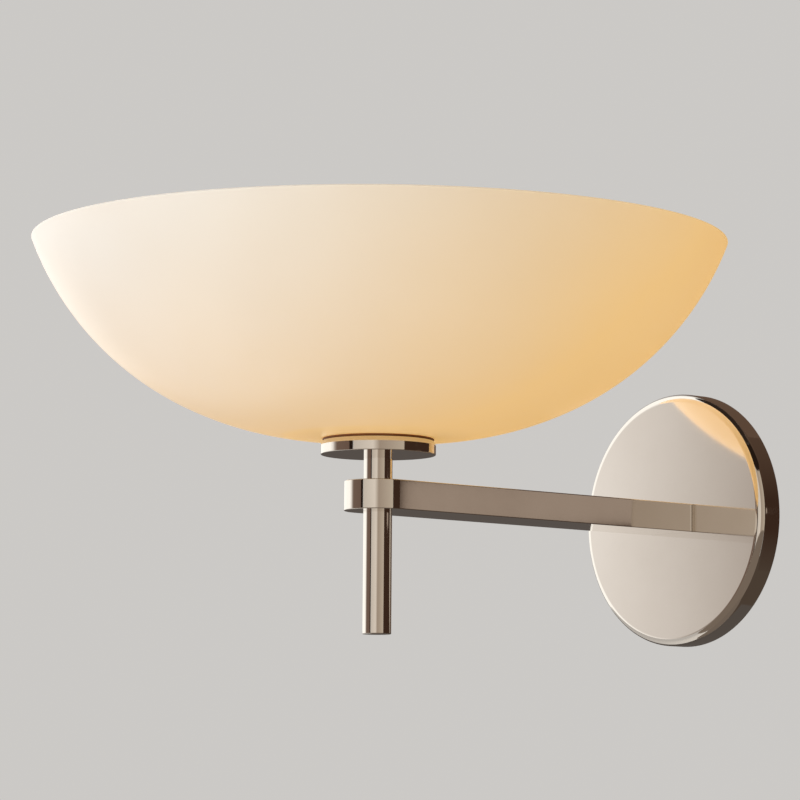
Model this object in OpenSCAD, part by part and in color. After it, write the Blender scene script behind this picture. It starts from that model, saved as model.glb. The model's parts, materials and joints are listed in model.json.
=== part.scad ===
// Bowl wall sconce: an opal glass bowl on a flat nickel arm that stands out from a round canopy.
// Millimetres. The origin is the centre of the canopy's back, on the wall.
// The wall is the plane y = 0, the front is -Y and up is +Z. The arm's centreline is z = 0.

/* [Glass bowl] */
// Radius of the bowl at its rim
bowl_r = 165; // [140:1:190]
// Thickness of the glass
glass_wall = 4.5; // [3:0.5:6]
// Radius of the flat foot that stands on the seat
foot_r = 24; // [23:0.5:26]
// Radius of the outline's lower curve, as drawn
low_curve_r = 160; // [140:1:180]
// Radius of the outline's upper curve, as drawn
high_curve_r = 142; // [125:1:160]
// Slope at which the two curves meet, in degrees
meet_slope = 27; // [15:1:40]
// Slope of the glass at its rim, in degrees
rim_slope = 69.3; // [60:0.1:80]

/* [Seat] */
// Radius of the round seat under the glass
seat_r = 27.2; // [26:0.1:32]
// Thickness of the seat
seat_t = 6.7; // [5:0.1:9]
// Radius of the seat's top edge
seat_edge_r = 1.2; // [0.4:0.1:2]
// Clear height between the arm's top and the seat
seat_gap = 12.5; // [8:0.5:20]
// Thickness of the soft gasket on the seat
gasket_t = 1; // [0.5:0.1:2]

/* [Stem] */
// Outside radius of the stem
stem_r = 6.8; // [6.4:0.1:7.5]
// Wall of the stem
stem_wall = 1.8; // [1.5:0.1:2]
// Length of the stem below the arm's centreline
stem_drop = 65; // [40:1:90]
// Length of the plug that closes the stem's foot
plug_h = 6; // [4:0.5:10]
// Length of the nipple's thread inside the stem
nipple_grip = 12; // [9:0.5:14]
// Wall of the hollow nipple
nipple_wall = 1.2; // [1:0.1:1.4]

/* [Arm] */
// Length of the arm from the canopy's face to the stem's axis
arm_reach = 192; // [140:1:240]
// Width of the flat arm, which is also the diameter of its round nose
arm_w = 32; // [30:1:40]
// Height of the flat arm
arm_h = 14; // [13:0.5:18]
// Radius of the wireway bored along the arm
wireway_r = 3.5; // [3.3:0.1:4]
// Radius of the grub screw that holds the stem
grub_r = 2.45; // [2:0.05:3]

/* [Canopy] */
// Diameter of the round canopy
canopy_d = 127; // [124:1:150]
// Depth of the canopy from the wall to its face
canopy_depth = 13; // [13:0.5:18]
// Wall of the canopy
canopy_wall = 1.6; // [1:0.1:2]
// Radius of the canopy's front edge
canopy_edge_r = 3.5; // [2.5:0.5:5]
// Distance of the side screws from the wall
side_screw_y = 6; // [5:0.5:7]
// Radius of the side screws
side_screw_r = 1.5; // [1.2:0.05:2]
// Length of the side screws
side_screw_l = 9; // [7:0.5:12]

/* [Wall bracket] */
// Width of the bracket's strap
strap_w = 20; // [20:1:24]
// Thickness of the bracket's sheet
strap_t = 2; // [1.5:0.1:2.2]
// Depth of the bracket's bent ends
tab_depth = 9.5; // [9:0.1:10]
// Distance between the centres of the two slots
slot_spacing = 79.4; // [78:0.2:84]
// Width of the slots
slot_w = 5; // [4:0.2:6]
// Length of the slots from end to end
slot_l = 14.5; // [10:0.5:16]
// Radius of the hole for the house wires
supply_hole_r = 6; // [4:0.5:7]
// Distance of the bracket's earth screw below the centre
earth_drop = 22; // [19:0.5:24]

/* [Arm fixing] */
// Thickness of the plate behind the canopy's face
plate_t = 2; // [1.5:0.1:2.5]
// Width of that plate
plate_w = 48; // [47:1:56]
// Height of that plate
plate_h = 28; // [22:1:28]
// Distance of each arm screw from the centreline
arm_screw_x = 11; // [10.5:0.1:11.5]
// Radius of the arm screws and of the earth screws
m4_r = 2; // [1.8:0.05:2.1]
// Radius of the heads of those screws
m4_head_r = 3.5; // [3.2:0.1:3.6]
// Height of those heads
m4_head_h = 2.4; // [2:0.1:2.6]
// Length of the arm screws' thread inside the arm
arm_screw_grip = 10; // [8:0.5:14]
// Thickness of the lock washers
washer_h = 0.8; // [0.6:0.1:1]
// Distance of the plate's earth screw from the centreline
plate_earth_x = 19; // [19:0.1:20]

/* [Terminal block] */
// Width of the block
block_w = 20; // [18:0.5:20]
// Height of the block
block_h = 13; // [12:0.5:13]
// Depth of the block
block_depth = 8; // [7.5:0.1:8.4]
// Height of the block's foot above the centre
block_z = 17; // [16.5:0.1:17.5]
// Distance of each pole from the centreline
pole_x = 4.5; // [4.5:0.1:5]
// Radius of the terminal screws
pole_screw_r = 1.8; // [1.5:0.05:1.8]
// Radius of the screw that holds the block
block_screw_r = 1.5; // [1.2:0.05:1.6]

/* [Lampholder] */
// Outside radius of the lampholder
holder_r = 19.75; // [19.6:0.05:20]
// Wall of the lampholder's outer shell
holder_wall = 1.85; // [1.5:0.05:2]
// Height of the lampholder's base cup
base_h = 6; // [5.8:0.1:6.4]
// Thickness of the base cup's floor
base_floor = 2.5; // [2:0.1:2.8]
// Thickness of the locknut in the base cup
nut_t = 3; // [2.5:0.1:3.2]
// Distance across the flats of the locknut
nut_flats = 14; // [13:0.5:16]
// Height of the ceramic core
core_h = 10; // [10:0.5:12]
// Height of the pocket under the core
pocket_h = 6; // [6:0.1:6.5]
// Height of the outer shell
shell_h = 38; // [32:1:40]
// Height of the threaded screw shell
screw_shell_h = 24; // [20:0.5:25]
// Distance of each terminal from the axis
terminal_x = 8; // [8:0.1:8.4]
// Radius of the terminals' heads
terminal_head_r = 2.6; // [2.2:0.1:2.6]
// Height that the centre contact's tongue springs up
spring_rise = 2.8; // [2.4:0.1:3.4]
// Height of the ring that clamps the glass
ring_h = 6.5; // [5:0.5:8]
// Outside radius of that ring
ring_r = 27; // [25.5:0.5:30]
// Thickness of the fibre washer under the ring
fibre_t = 1; // [0.5:0.1:1.5]

/* [Lamp] */
// Radius of the lamp's globe
globe_r = 17.5; // [16.5:0.1:18]
// Wall of the globe
globe_wall = 1.2; // [1:0.1:1.4]
// Height of the globe
globe_h = 32.4; // [26:0.1:33]
// Height of the collar under the globe
collar_h = 18; // [16:0.5:18]
// Radius of the lamp's screw cap
cap_r = 12.9; // [12.6:0.05:12.95]
// Height of the lamp's screw cap
cap_h = 18.5; // [17:0.5:19]
// Distance between two turns of the screw cap's thread
cap_pitch = 3.6; // [3:0.1:4]

/* [Wiring] */
// Diameter of the live and neutral wires
wire_d = 2; // [1.6:0.1:2]
// Distance of each of those wires from the centreline
wire_x = 1.3; // [1.2:0.05:1.3]
// Depth of the wires below the arm's centreline
wire_sag = 1.5; // [1:0.1:1.5]
// Radius of the wires' bends
wire_bend_r = 4; // [4:0.1:4.1]
// Distance of the wires from the wall, behind the plate
wire_y = 4.5; // [4.4:0.1:4.6]

/* [Fits] */
// Radial clearance of a screw or shaft in its own bore
close_fit = 0.05; // [0.02:0.01:0.1]
// Radial clearance of the clamping ring round the lampholder
ring_fit = 0.08; // [0.05:0.01:0.1]
// Radial clearance of a screw in a plain hole
screw_gap = 0.2; // [0.1:0.05:0.3]
// Radial clearance between the glass and the lampholder
glass_gap = 1; // [0.6:0.1:1.5]
// Clearance between pieces that only stand near each other
near_gap = 0.3; // [0.2:0.05:0.4]

/* [Hidden] */
$fn = 96;

// Depths in the canopy, counted from the wall
canopy_r = canopy_d / 2;
canopy_in_r = canopy_r - canopy_wall;
face_back = canopy_depth - canopy_wall;
plate_back = face_back - plate_t;
washer_back = plate_back - washer_h;

// The stem's axis and the heights up it
stem_y = -(canopy_depth + arm_reach);
stem_bore_r = stem_r - stem_wall;
seat_z = arm_h / 2 + seat_gap;
seat_top = seat_z + seat_t;
glass_z = seat_top + gasket_t;
glass_floor = glass_z + glass_wall;
ring_z = glass_floor + fibre_t;
base_rim_z = seat_top + base_h;
floor_z = seat_top + base_floor;
nut_top = floor_z + nut_t;
nipple_proud = 1;
nipple_top = nut_top + nipple_proud;
nipple_r = stem_bore_r - close_fit;
nipple_hole_r = nipple_r + screw_gap;
nipple_bore_r = nipple_r - nipple_wall;
core_top = base_rim_z + core_h;
pocket_z = base_rim_z + pocket_h;

// The bowl's outline: a flat foot, a lower arc and an upper arc that run on smoothly.
// Both arcs grow alike until they reach from the foot to the rim's radius.
drawn_run = (low_curve_r - high_curve_r) * sin(meet_slope) + high_curve_r * sin(rim_slope);
curve_growth = (bowl_r - foot_r) / drawn_run;
low_r = low_curve_r * curve_growth;
high_r = high_curve_r * curve_growth;
low_centre = [foot_r, glass_z + low_r];
high_centre = low_centre + (low_r - high_r) * [sin(meet_slope), -cos(meet_slope)];
rim_z = high_centre[1] - high_r * cos(rim_slope);
rim_in_slope = acos((high_centre[1] - rim_z) / (high_r - glass_wall));
glass_hole_r = holder_r + glass_gap;
outline_steps = 20;

// The lampholder
thread_depth = 0.35;
thread_steps = 8;
shell_pitch = 2.5;
shell_in_r = holder_r - holder_wall;
shell_root_r = holder_r - thread_depth;
shell_top = base_rim_z + shell_h;
core_r = shell_in_r - near_gap;
core_seat = 1.1;
base_in_r = core_r - core_seat;
pocket_r = 12.5;
strip_t = 0.6;
strip_half_w = 3;
tongue_tip_w = 1;
terminal_r = 1.5;
terminal_head_h = 1.8;
terminal_screw_l = core_top + strip_t - pocket_z + near_gap;
screw_shell_root_r = cap_r + near_gap;
screw_shell_t = 0.45;
screw_shell_floor_r = screw_shell_root_r + screw_shell_t / 2;
screw_shell_top = core_top + screw_shell_h;
grip_count = 18;
grip_r = 1.4;
grip_sides = 24;
ring_bore_r = holder_r + ring_fit;

// The lamp, from its contact up
contact_gap = 0.2;
lamp_contact_r = 4.5;
lamp_contact_h = 0.8;
insulator_h = 3.6;
insulator_r = 9.5;
lamp_z = core_top + spring_rise + contact_gap;
insulator_z = lamp_z + lamp_contact_h;
cap_z = insulator_z + insulator_h;
cap_taper = 1.6;
cap_t = 0.4;
collar_z = cap_z + cap_h;
collar_wall = 1;
collar_in_r = cap_r - cap_t;
collar_lip_h = 3;
globe_z = collar_z + collar_h;
lip_z = globe_z - collar_lip_h;
board_t = 1.2;
board_ledge = 1;
board_r = globe_r - globe_wall - near_gap;
led_count = 9;
led_ring_r = 9;
led_w = 3;
led_t = 0.8;
driver_half_w = 8;
driver_lift = 5;
driver_z = cap_z + driver_lift;

// Small fixings
block_front = strap_t + block_depth;
block_top = block_z + block_h;
block_mid_z = block_z + block_h / 2;
pole_bore_r = 1.7;
pole_inset = 3.2;
block_head_r = 2.4;
block_head_h = 2;
tab_clear = 0.4;
tab_z = sqrt(pow(canopy_in_r, 2) - pow(strap_w / 2, 2)) - tab_clear;
side_screw_sunk = 0.2;
drive_w = 0.8;
drive_depth = 1;
hex_share = 0.55;
grommet_flange_r = 5.4;
grommet_flange_t = 1;
grommet_wall = 1;
grommet_lap = 0.7;
grommet_r = wireway_r + grommet_lap;
grub_sunk = 0.5;
arm_hole_spare = 2;
cut = 1;

// The wires' routes, as lists of points
wire_r = wire_d / 2;
bend_steps = 6;
wire_sides = 8;
strip_gap = 0.1;
lead_end_x = terminal_x - terminal_head_r - strip_gap;
lead_bend_r = lead_end_x - wire_x;
lead_z = pocket_z - near_gap - wire_r;
wire_in_block = 5;
fan_low_z = 4;
fan_high_z = 14;
earth_bend_r = 8;
earth_clear = 0.2;
earth_front = plate_back - wire_r - earth_clear;
earth_near_wall = strap_t + wire_r + earth_clear;

// Points along an arc in a plane, from angle a0 to a1
function arc(centre, r, a0, a1, steps) = [
    for (i = [0 : steps])
        let (a = a0 + (a1 - a0) * i / steps)
        centre + r * [cos(a), sin(a)]
];

// One side of the bowl at a depth inside the glass, from the foot to the slope at its end
function bowl_line(depth, end_slope) = concat(
    arc(low_centre, low_r - depth, -90, meet_slope - 90, outline_steps),
    arc(high_centre, high_r - depth, meet_slope - 90, end_slope - 90, outline_steps)
);

function reversed(list) = [for (i = [len(list) - 1 : -1 : 0]) list[i]];

// A rippled line up a thread: radius r at the roots, r + depth at the crests
function thread_line(r, depth, z0, z1, pitch) =
    let (steps = thread_steps * round((z1 - z0) / pitch))
    [
        for (i = [0 : steps])
            let (z = z0 + (z1 - z0) * i / steps)
            [r + depth * (1 - cos(360 * (z - z0) / pitch)) / 2, z]
    ];

function unit(v) = v / norm(v);

function tangents(path) = [
    for (i = [0 : len(path) - 1])
        unit(path[min(i + 1, len(path) - 1)] - path[max(i - 1, 0)])
];

// A sideways direction carried along the path without twist
function carried(t, i, u) =
    i == len(t) ? [] : let (v = unit(u - t[i] * (u * t[i]))) concat([v], carried(t, i + 1, v));

// Points of a bend in the YZ plane, at one x
function bend_yz(x, centre, a0, a1, r) = [
    for (p = arc(centre, r, a0, a1, bend_steps)) [x, p[0], p[1]]
];

// From the terminal block down, through the arm, up the stem and out to the lampholder
function lead_route(side) =
    let (
        x = side * wire_x,
        back = -wire_y,
        turn = -wire_y - wire_bend_r,
        stem_turn = stem_y + wire_bend_r,
        bend_z = wire_bend_r - wire_sag
    )
    concat(
        [
            [side * pole_x, back, block_z + wire_in_block],
            [side * pole_x, back, fan_high_z],
            [side * (pole_x + wire_x) / 2, back, (fan_low_z + fan_high_z) / 2],
            [x, back, fan_low_z]
        ],
        bend_yz(x, [turn, bend_z], 0, -90, wire_bend_r),
        bend_yz(x, [stem_turn, bend_z], -90, -180, wire_bend_r),
        [[x, stem_y, seat_z]],
        [
            for (p = arc([lead_end_x, lead_z - lead_bend_r], lead_bend_r, 180, 90, bend_steps))
                [side * p[0], stem_y, p[1]]
        ]
    );

// From the bracket's earth screw across to the screw on the plate
function earth_route() =
    let (
        start_x = m4_head_r + strip_gap,
        turn_x = plate_earth_x - earth_bend_r,
        turn_z = earth_bend_r - earth_drop,
        end_z = -m4_head_r - strip_gap,
        rise_z = end_z - 2 * wire_d
    )
    concat(
        [[start_x, -earth_near_wall, -earth_drop]],
        [
            for (p = arc([turn_x, turn_z], earth_bend_r, -90, 0, bend_steps))
                [p[0], -earth_near_wall, p[1]]
        ],
        [
            [plate_earth_x, -(earth_near_wall + earth_front) / 2, (turn_z + rise_z) / 2],
            [plate_earth_x, -earth_front, rise_z],
            [plate_earth_x, -earth_front, end_z]
        ]
    );

// A round wire of a few sides swept along a route
module wire(path, r, first) {
    t = tangents(path);
    n = carried(t, 0, first);
    s = wire_sides;
    last = len(path) - 1;
    points = [
        for (i = [0 : last])
            let (b = cross(t[i], n[i]))
            for (k = [0 : s - 1])
                path[i] + r * (cos(360 * k / s) * n[i] + sin(360 * k / s) * b)
    ];
    sides = [
        for (i = [0 : last - 1])
            for (k = [0 : s - 1])
                [i * s + k, (i + 1) * s + k, (i + 1) * s + (k + 1) % s, i * s + (k + 1) % s]
    ];
    polyhedron(
        points,
        concat([[for (k = [0 : s - 1]) k]], sides, [[for (k = [s - 1 : -1 : 0]) last * s + k]])
    );
}

// Turns a shape drawn up +Z so that it stands out from the wall along -Y
module outward() {
    rotate([90, 0, 0]) children();
}

// A round body about the stem's axis
module on_stem() {
    translate([0, stem_y, 0]) children();
}

// A filled half outline with one rounded front corner, to be turned about its axis
module rounded_half(r, h, edge) {
    square([r - edge, h]);
    square([r, h - edge]);
    translate([r - edge, h - edge]) circle(edge);
}

// A plain ring or tube
module tube(outer, inner, z0, z1) {
    difference() {
        translate([0, 0, z0]) cylinder(r = outer, h = z1 - z0);
        translate([0, 0, z0 - cut]) cylinder(r = inner, h = z1 - z0 + 2 * cut);
    }
}

// A screw that stands along +Z with its head on top of z = 0 and a slot in the head
module headed_screw(r, length, head_r, head_h) {
    difference() {
        union() {
            translate([0, 0, -length]) cylinder(r = r, h = length);
            cylinder(r = head_r, h = head_h);
        }
        translate([-head_r - cut, -drive_w / 2, head_h - drive_depth])
            cube([2 * head_r + 2 * cut, drive_w, drive_depth + cut]);
    }
}

// A headless screw along +Z that ends at z = 0, with a six-sided socket at that end
module headless_screw(r, length) {
    difference() {
        translate([0, 0, -length]) cylinder(r = r, h = length);
        translate([0, 0, -r]) cylinder(r = r * hex_share, h = r + cut, $fn = 6);
    }
}

module wall_bracket() {
    color("lightsteelblue")
    difference() {
        union() {
            translate([-strap_w / 2, -strap_t, -tab_z]) cube([strap_w, strap_t, 2 * tab_z]);
            for (side = [-1, 1])
                translate([-strap_w / 2, -tab_depth, side * (tab_z - strap_t / 2) - strap_t / 2])
                    cube([strap_w, tab_depth, strap_t]);
        }
        outward() translate([0, 0, -cut]) cylinder(r = supply_hole_r, h = strap_t + 2 * cut);
        for (side = [-1, 1]) {
            for (end = [-1, 1])
                outward()
                    translate([0, side * slot_spacing / 2 + end * (slot_l - slot_w) / 2, -cut])
                    cylinder(r = slot_w / 2, h = strap_t + 2 * cut);
            translate([-slot_w / 2, -strap_t - cut, side * slot_spacing / 2 - (slot_l - slot_w) / 2])
                cube([slot_w, strap_t + 2 * cut, slot_l - slot_w]);
            translate([0, -side_screw_y, side * (tab_z - strap_t / 2)])
                cylinder(r = side_screw_r + close_fit, h = strap_t + 2 * cut, center = true);
        }
        outward() translate([0, -earth_drop, -cut])
            cylinder(r = m4_r + close_fit, h = strap_t + 2 * cut);
        outward() translate([0, block_mid_z, -cut])
            cylinder(r = block_screw_r + close_fit, h = strap_t + 2 * cut);
    }
}

module bracket_earth_screw() {
    color("goldenrod")
    translate([0, 0, -earth_drop]) outward() translate([0, 0, strap_t])
        headed_screw(m4_r, strap_t, m4_head_r, m4_head_h);
}

module canopy() {
    color("gainsboro")
    difference() {
        outward() rotate_extrude() rounded_half(canopy_r, canopy_depth, canopy_edge_r);
        outward() rotate_extrude()
            rounded_half(canopy_in_r, face_back, canopy_edge_r - canopy_wall);
        outward() translate([0, 0, -cut]) cylinder(r = canopy_in_r, h = 2 * cut);
        outward() cylinder(r = grommet_r + close_fit, h = canopy_depth + cut);
        for (side = [-1, 1]) {
            outward() translate([side * arm_screw_x, 0, 0])
                cylinder(r = m4_r + screw_gap, h = canopy_depth + cut);
            translate([0, -side_screw_y, side * canopy_r])
                cylinder(r = side_screw_r + screw_gap, h = 2 * (canopy_wall + cut), center = true);
        }
    }
}

module canopy_side_screws() {
    color("gainsboro")
    for (turn = [0, 180])
        rotate([0, turn, 0])
        translate([0, -side_screw_y, canopy_r - side_screw_sunk])
        headless_screw(side_screw_r, side_screw_l);
}

module stiffener_plate() {
    color("lightsteelblue")
    difference() {
        translate([-plate_w / 2, -face_back, -plate_h / 2]) cube([plate_w, plate_t, plate_h]);
        outward() cylinder(r = grommet_r + close_fit, h = canopy_depth);
        for (side = [-1, 1])
            outward() translate([side * arm_screw_x, 0, 0])
                cylinder(r = m4_r + screw_gap, h = canopy_depth);
        outward() translate([plate_earth_x, 0, 0])
            cylinder(r = m4_r + close_fit, h = canopy_depth);
    }
}

module plate_earth_screw() {
    color("goldenrod")
    translate([plate_earth_x, -plate_back, 0]) rotate([-90, 0, 0])
        headed_screw(m4_r, plate_t, m4_head_r, m4_head_h);
}

module arm() {
    color("gainsboro")
    difference() {
        union() {
            translate([-arm_w / 2, stem_y, -arm_h / 2]) cube([arm_w, arm_reach, arm_h]);
            on_stem() translate([0, 0, -arm_h / 2]) cylinder(r = arm_w / 2, h = arm_h);
        }
        on_stem() cylinder(r = stem_r + close_fit, h = arm_h + 2 * cut, center = true);
        outward() translate([0, 0, canopy_depth - cut])
            cylinder(r = wireway_r, h = arm_reach + cut);
        for (side = [-1, 1])
            outward() translate([side * arm_screw_x, 0, canopy_depth - cut])
                cylinder(r = m4_r + close_fit, h = arm_screw_grip + arm_hole_spare + cut);
        on_stem() rotate([0, -90, 0]) cylinder(r = grub_r + close_fit, h = arm_w / 2 + cut);
    }
}

module arm_screws() {
    color("silver")
    for (side = [-1, 1])
        translate([side * arm_screw_x, -washer_back, 0]) rotate([-90, 0, 0])
            headed_screw(m4_r, canopy_depth - washer_back + arm_screw_grip, m4_head_r, m4_head_h);
}

module arm_lock_washers() {
    color("slategray")
    for (side = [-1, 1])
        translate([side * arm_screw_x, 0, 0]) outward()
            tube(m4_head_r + screw_gap, m4_r + screw_gap, washer_back, plate_back);
}

module wire_grommet() {
    color("dimgray")
    outward() {
        difference() {
            union() {
                translate([0, 0, plate_back]) cylinder(r = grommet_r, h = canopy_depth - plate_back);
                translate([0, 0, plate_back - grommet_flange_t])
                    cylinder(r = grommet_flange_r, h = grommet_flange_t);
            }
            cylinder(r = grommet_r - grommet_wall, h = canopy_depth + cut);
        }
    }
}

module terminal_block() {
    color("ivory")
    difference() {
        translate([-block_w / 2, -block_front, block_z]) cube([block_w, block_depth, block_h]);
        for (side = [-1, 1]) {
            translate([side * pole_x, -wire_y, block_z - cut])
                cylinder(r = pole_bore_r, h = block_h + 2 * cut);
            for (z = [block_z + pole_inset, block_top - pole_inset])
                translate([side * pole_x, -wire_y, z]) outward()
                    cylinder(r = pole_screw_r + close_fit, h = block_front);
        }
        translate([0, 0, block_mid_z]) outward() {
            cylinder(r = block_screw_r + screw_gap, h = block_front + cut);
            translate([0, 0, block_front - block_head_h])
                cylinder(r = block_head_r + screw_gap, h = block_head_h + cut);
        }
    }
}

module terminal_screws() {
    color("goldenrod")
    for (side = [-1, 1])
        for (z = [block_z + pole_inset, block_top - pole_inset])
            translate([side * pole_x, -block_front + near_gap, z]) outward()
                headless_screw(pole_screw_r, block_front - near_gap - wire_y - wire_r - strip_gap);
}

module block_screw() {
    color("silver")
    translate([0, -block_front + block_head_h, block_mid_z]) outward()
        headed_screw(block_screw_r, block_front - block_head_h, block_head_r, block_head_h);
}

module stem() {
    color("gainsboro")
    on_stem() difference() {
        tube(stem_r, stem_bore_r, -stem_drop, seat_z);
        rotate([-90, 0, 0]) cylinder(r = wireway_r, h = stem_r + cut);
    }
}

module stem_plug() {
    color("gainsboro")
    on_stem() translate([0, 0, -stem_drop]) cylinder(r = stem_bore_r - close_fit, h = plug_h);
}

module stem_grub_screw() {
    color("silver")
    on_stem() translate([-arm_w / 2 + grub_sunk, 0, 0]) rotate([0, -90, 0])
        headless_screw(grub_r, arm_w / 2 - grub_sunk - stem_r - close_fit);
}

module stem_nipple() {
    color("goldenrod")
    on_stem() tube(nipple_r, nipple_bore_r, seat_z - nipple_grip, nipple_top);
}

module shade_seat() {
    color("gainsboro")
    on_stem() difference() {
        translate([0, 0, seat_z]) rotate_extrude() rounded_half(seat_r, seat_t, seat_edge_r);
        translate([0, 0, seat_z - cut]) cylinder(r = nipple_hole_r, h = seat_t + 2 * cut);
    }
}

module seat_gasket() {
    color("dimgray")
    on_stem() tube(foot_r, glass_hole_r, seat_top, glass_z);
}

module glass_bowl() {
    color("antiquewhite")
    on_stem() rotate_extrude()
        polygon(concat(
            [[glass_hole_r, glass_z]],
            bowl_line(0, rim_slope),
            reversed(bowl_line(glass_wall, rim_in_slope)),
            [[glass_hole_r, glass_floor]]
        ));
}

module fibre_washer() {
    color("peru")
    on_stem() tube(foot_r, holder_r + near_gap, glass_floor, ring_z);
}

module shade_ring() {
    color("gainsboro")
    on_stem() difference() {
        tube(ring_r, ring_bore_r, ring_z, ring_z + ring_h);
        for (i = [0 : grip_count - 1])
            rotate(360 * i / grip_count) translate([ring_r + grip_r / 2, 0, ring_z - cut])
                cylinder(r = grip_r, h = ring_h + 2 * cut, $fn = grip_sides);
    }
}

module lampholder_base() {
    color("silver")
    on_stem() difference() {
        translate([0, 0, seat_top]) cylinder(r = holder_r, h = base_h);
        translate([0, 0, floor_z]) cylinder(r = base_in_r, h = base_h);
        translate([0, 0, seat_top - cut]) cylinder(r = nipple_hole_r, h = base_h);
    }
}

module lampholder_locknut() {
    color("goldenrod")
    on_stem() difference() {
        translate([0, 0, floor_z]) cylinder(r = nut_flats / sqrt(3), h = nut_t, $fn = 6);
        translate([0, 0, floor_z - cut]) cylinder(r = nipple_r + close_fit, h = nut_t + 2 * cut);
    }
}

module lampholder_core() {
    color("white")
    on_stem() difference() {
        translate([0, 0, base_rim_z]) cylinder(r = core_r, h = core_h);
        translate([0, 0, base_rim_z - cut]) cylinder(r = pocket_r, h = pocket_h + cut);
        for (side = [-1, 1])
            translate([side * terminal_x, 0, base_rim_z])
                cylinder(r = terminal_r + close_fit, h = core_h + cut);
    }
}

module lampholder_shell() {
    color("gainsboro")
    on_stem() rotate_extrude()
        polygon(concat(
            [[shell_in_r, base_rim_z]],
            thread_line(shell_root_r, thread_depth, base_rim_z, shell_top, shell_pitch),
            [[shell_in_r, shell_top]]
        ));
}

// A threaded sleeve with a part floor that the neutral terminal's screw holds
module screw_shell() {
    line = thread_line(screw_shell_root_r, thread_depth, core_top, screw_shell_top, cap_pitch);
    color("goldenrod")
    on_stem() {
        rotate_extrude()
            polygon(concat(line, reversed([for (p = line) p + [screw_shell_t, 0]])));
        difference() {
            translate([0, 0, core_top]) cylinder(r = screw_shell_floor_r, h = strip_t);
            translate([-terminal_x / 2, -holder_r, core_top - cut])
                cube([2 * holder_r, 2 * holder_r, strip_t + 2 * cut]);
            translate([-terminal_x, 0, core_top - cut])
                cylinder(r = terminal_r + close_fit, h = strip_t + 2 * cut);
        }
    }
}

// A strip on the core with a tongue that springs up under the lamp
module centre_contact() {
    foot_x = terminal_x + strip_half_w;
    heel_x = -strip_half_w;
    tip_x = strip_half_w;
    color("goldenrod")
    on_stem() translate([0, 0, core_top]) difference() {
        translate([0, strip_half_w, 0]) outward() linear_extrude(2 * strip_half_w)
            polygon([
                [foot_x, 0], [foot_x, strip_t], [heel_x + strip_t, strip_t],
                [tip_x, spring_rise - strip_t / 2], [tip_x, spring_rise],
                [tip_x - tongue_tip_w, spring_rise], [heel_x, strip_t], [heel_x, 0]
            ]);
        translate([terminal_x, 0, -cut]) cylinder(r = terminal_r + close_fit, h = strip_t + 2 * cut);
    }
}

module holder_terminal_screws() {
    color("goldenrod")
    on_stem() for (side = [-1, 1])
        translate([side * terminal_x, 0, pocket_z]) rotate([180, 0, 0])
            headed_screw(terminal_r, terminal_screw_l, terminal_head_r, terminal_head_h);
}

module live_wire() {
    color("saddlebrown") wire(lead_route(1), wire_r, [1, 0, 0]);
}

module neutral_wire() {
    color("steelblue") wire(lead_route(-1), wire_r, [1, 0, 0]);
}

module earth_wire() {
    color("green") wire(earth_route(), wire_r, [0, 1, 0]);
}

// Half outline of the globe: a straight side and a round top
module globe_half(r, h) {
    square([r, h - r]);
    intersection() {
        translate([0, h - r]) circle(r);
        square([r, h]);
    }
}

module lamp_globe() {
    color("white")
    on_stem() translate([0, 0, globe_z]) difference() {
        rotate_extrude() globe_half(globe_r, globe_h);
        translate([0, 0, -cut])
            rotate_extrude() globe_half(globe_r - globe_wall, globe_h - globe_wall + cut);
    }
}

module lamp_collar() {
    ledge_r = board_r - board_ledge;
    color("whitesmoke")
    on_stem() rotate_extrude()
        polygon([
            [collar_in_r, collar_z], [cap_r + thread_depth, collar_z],
            [globe_r - collar_wall, lip_z], [globe_r, globe_z],
            [ledge_r, globe_z], [ledge_r - collar_wall, lip_z],
            [collar_in_r - collar_wall, collar_z + collar_wall]
        ]);
}

module lamp_cap() {
    line = thread_line(cap_r - thread_depth, thread_depth, cap_z + cap_taper, collar_z, cap_pitch);
    outer = concat([[insulator_r, cap_z]], line);
    color("silver")
    on_stem() rotate_extrude()
        polygon(concat(outer, reversed([for (p = outer) p - [cap_t, 0]])));
}

module lamp_insulator() {
    color("black")
    on_stem() translate([0, 0, insulator_z])
        cylinder(r1 = lamp_contact_r + near_gap, r2 = insulator_r, h = insulator_h);
}

module lamp_contact() {
    color("silver")
    on_stem() translate([0, 0, lamp_z]) cylinder(r = lamp_contact_r, h = lamp_contact_h);
}

module lamp_led_board() {
    color("white")
    on_stem() translate([0, 0, globe_z]) cylinder(r = board_r, h = board_t);
}

module lamp_led_chips() {
    color("gold")
    on_stem() for (i = [0 : led_count - 1])
        rotate(360 * i / led_count) translate([led_ring_r, -led_w / 2, globe_z + board_t])
            cube([led_w, led_w, led_t]);
}

module lamp_driver_board() {
    color("seagreen")
    on_stem() translate([-driver_half_w, -board_t / 2, driver_z])
        cube([2 * driver_half_w, board_t, globe_z - driver_z]);
}

wall_bracket();
bracket_earth_screw();
canopy();
canopy_side_screws();
stiffener_plate();
plate_earth_screw();
arm();
arm_screws();
arm_lock_washers();
wire_grommet();
terminal_block();
terminal_screws();
block_screw();
stem();
stem_plug();
stem_grub_screw();
stem_nipple();
shade_seat();
seat_gasket();
glass_bowl();
fibre_washer();
shade_ring();
lampholder_base();
lampholder_locknut();
lampholder_core();
lampholder_shell();
screw_shell();
centre_contact();
holder_terminal_screws();
live_wire();
neutral_wire();
earth_wire();
lamp_globe();
lamp_collar();
lamp_cap();
lamp_insulator();
lamp_contact();
lamp_led_board();
lamp_led_chips();
lamp_driver_board();
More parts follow.
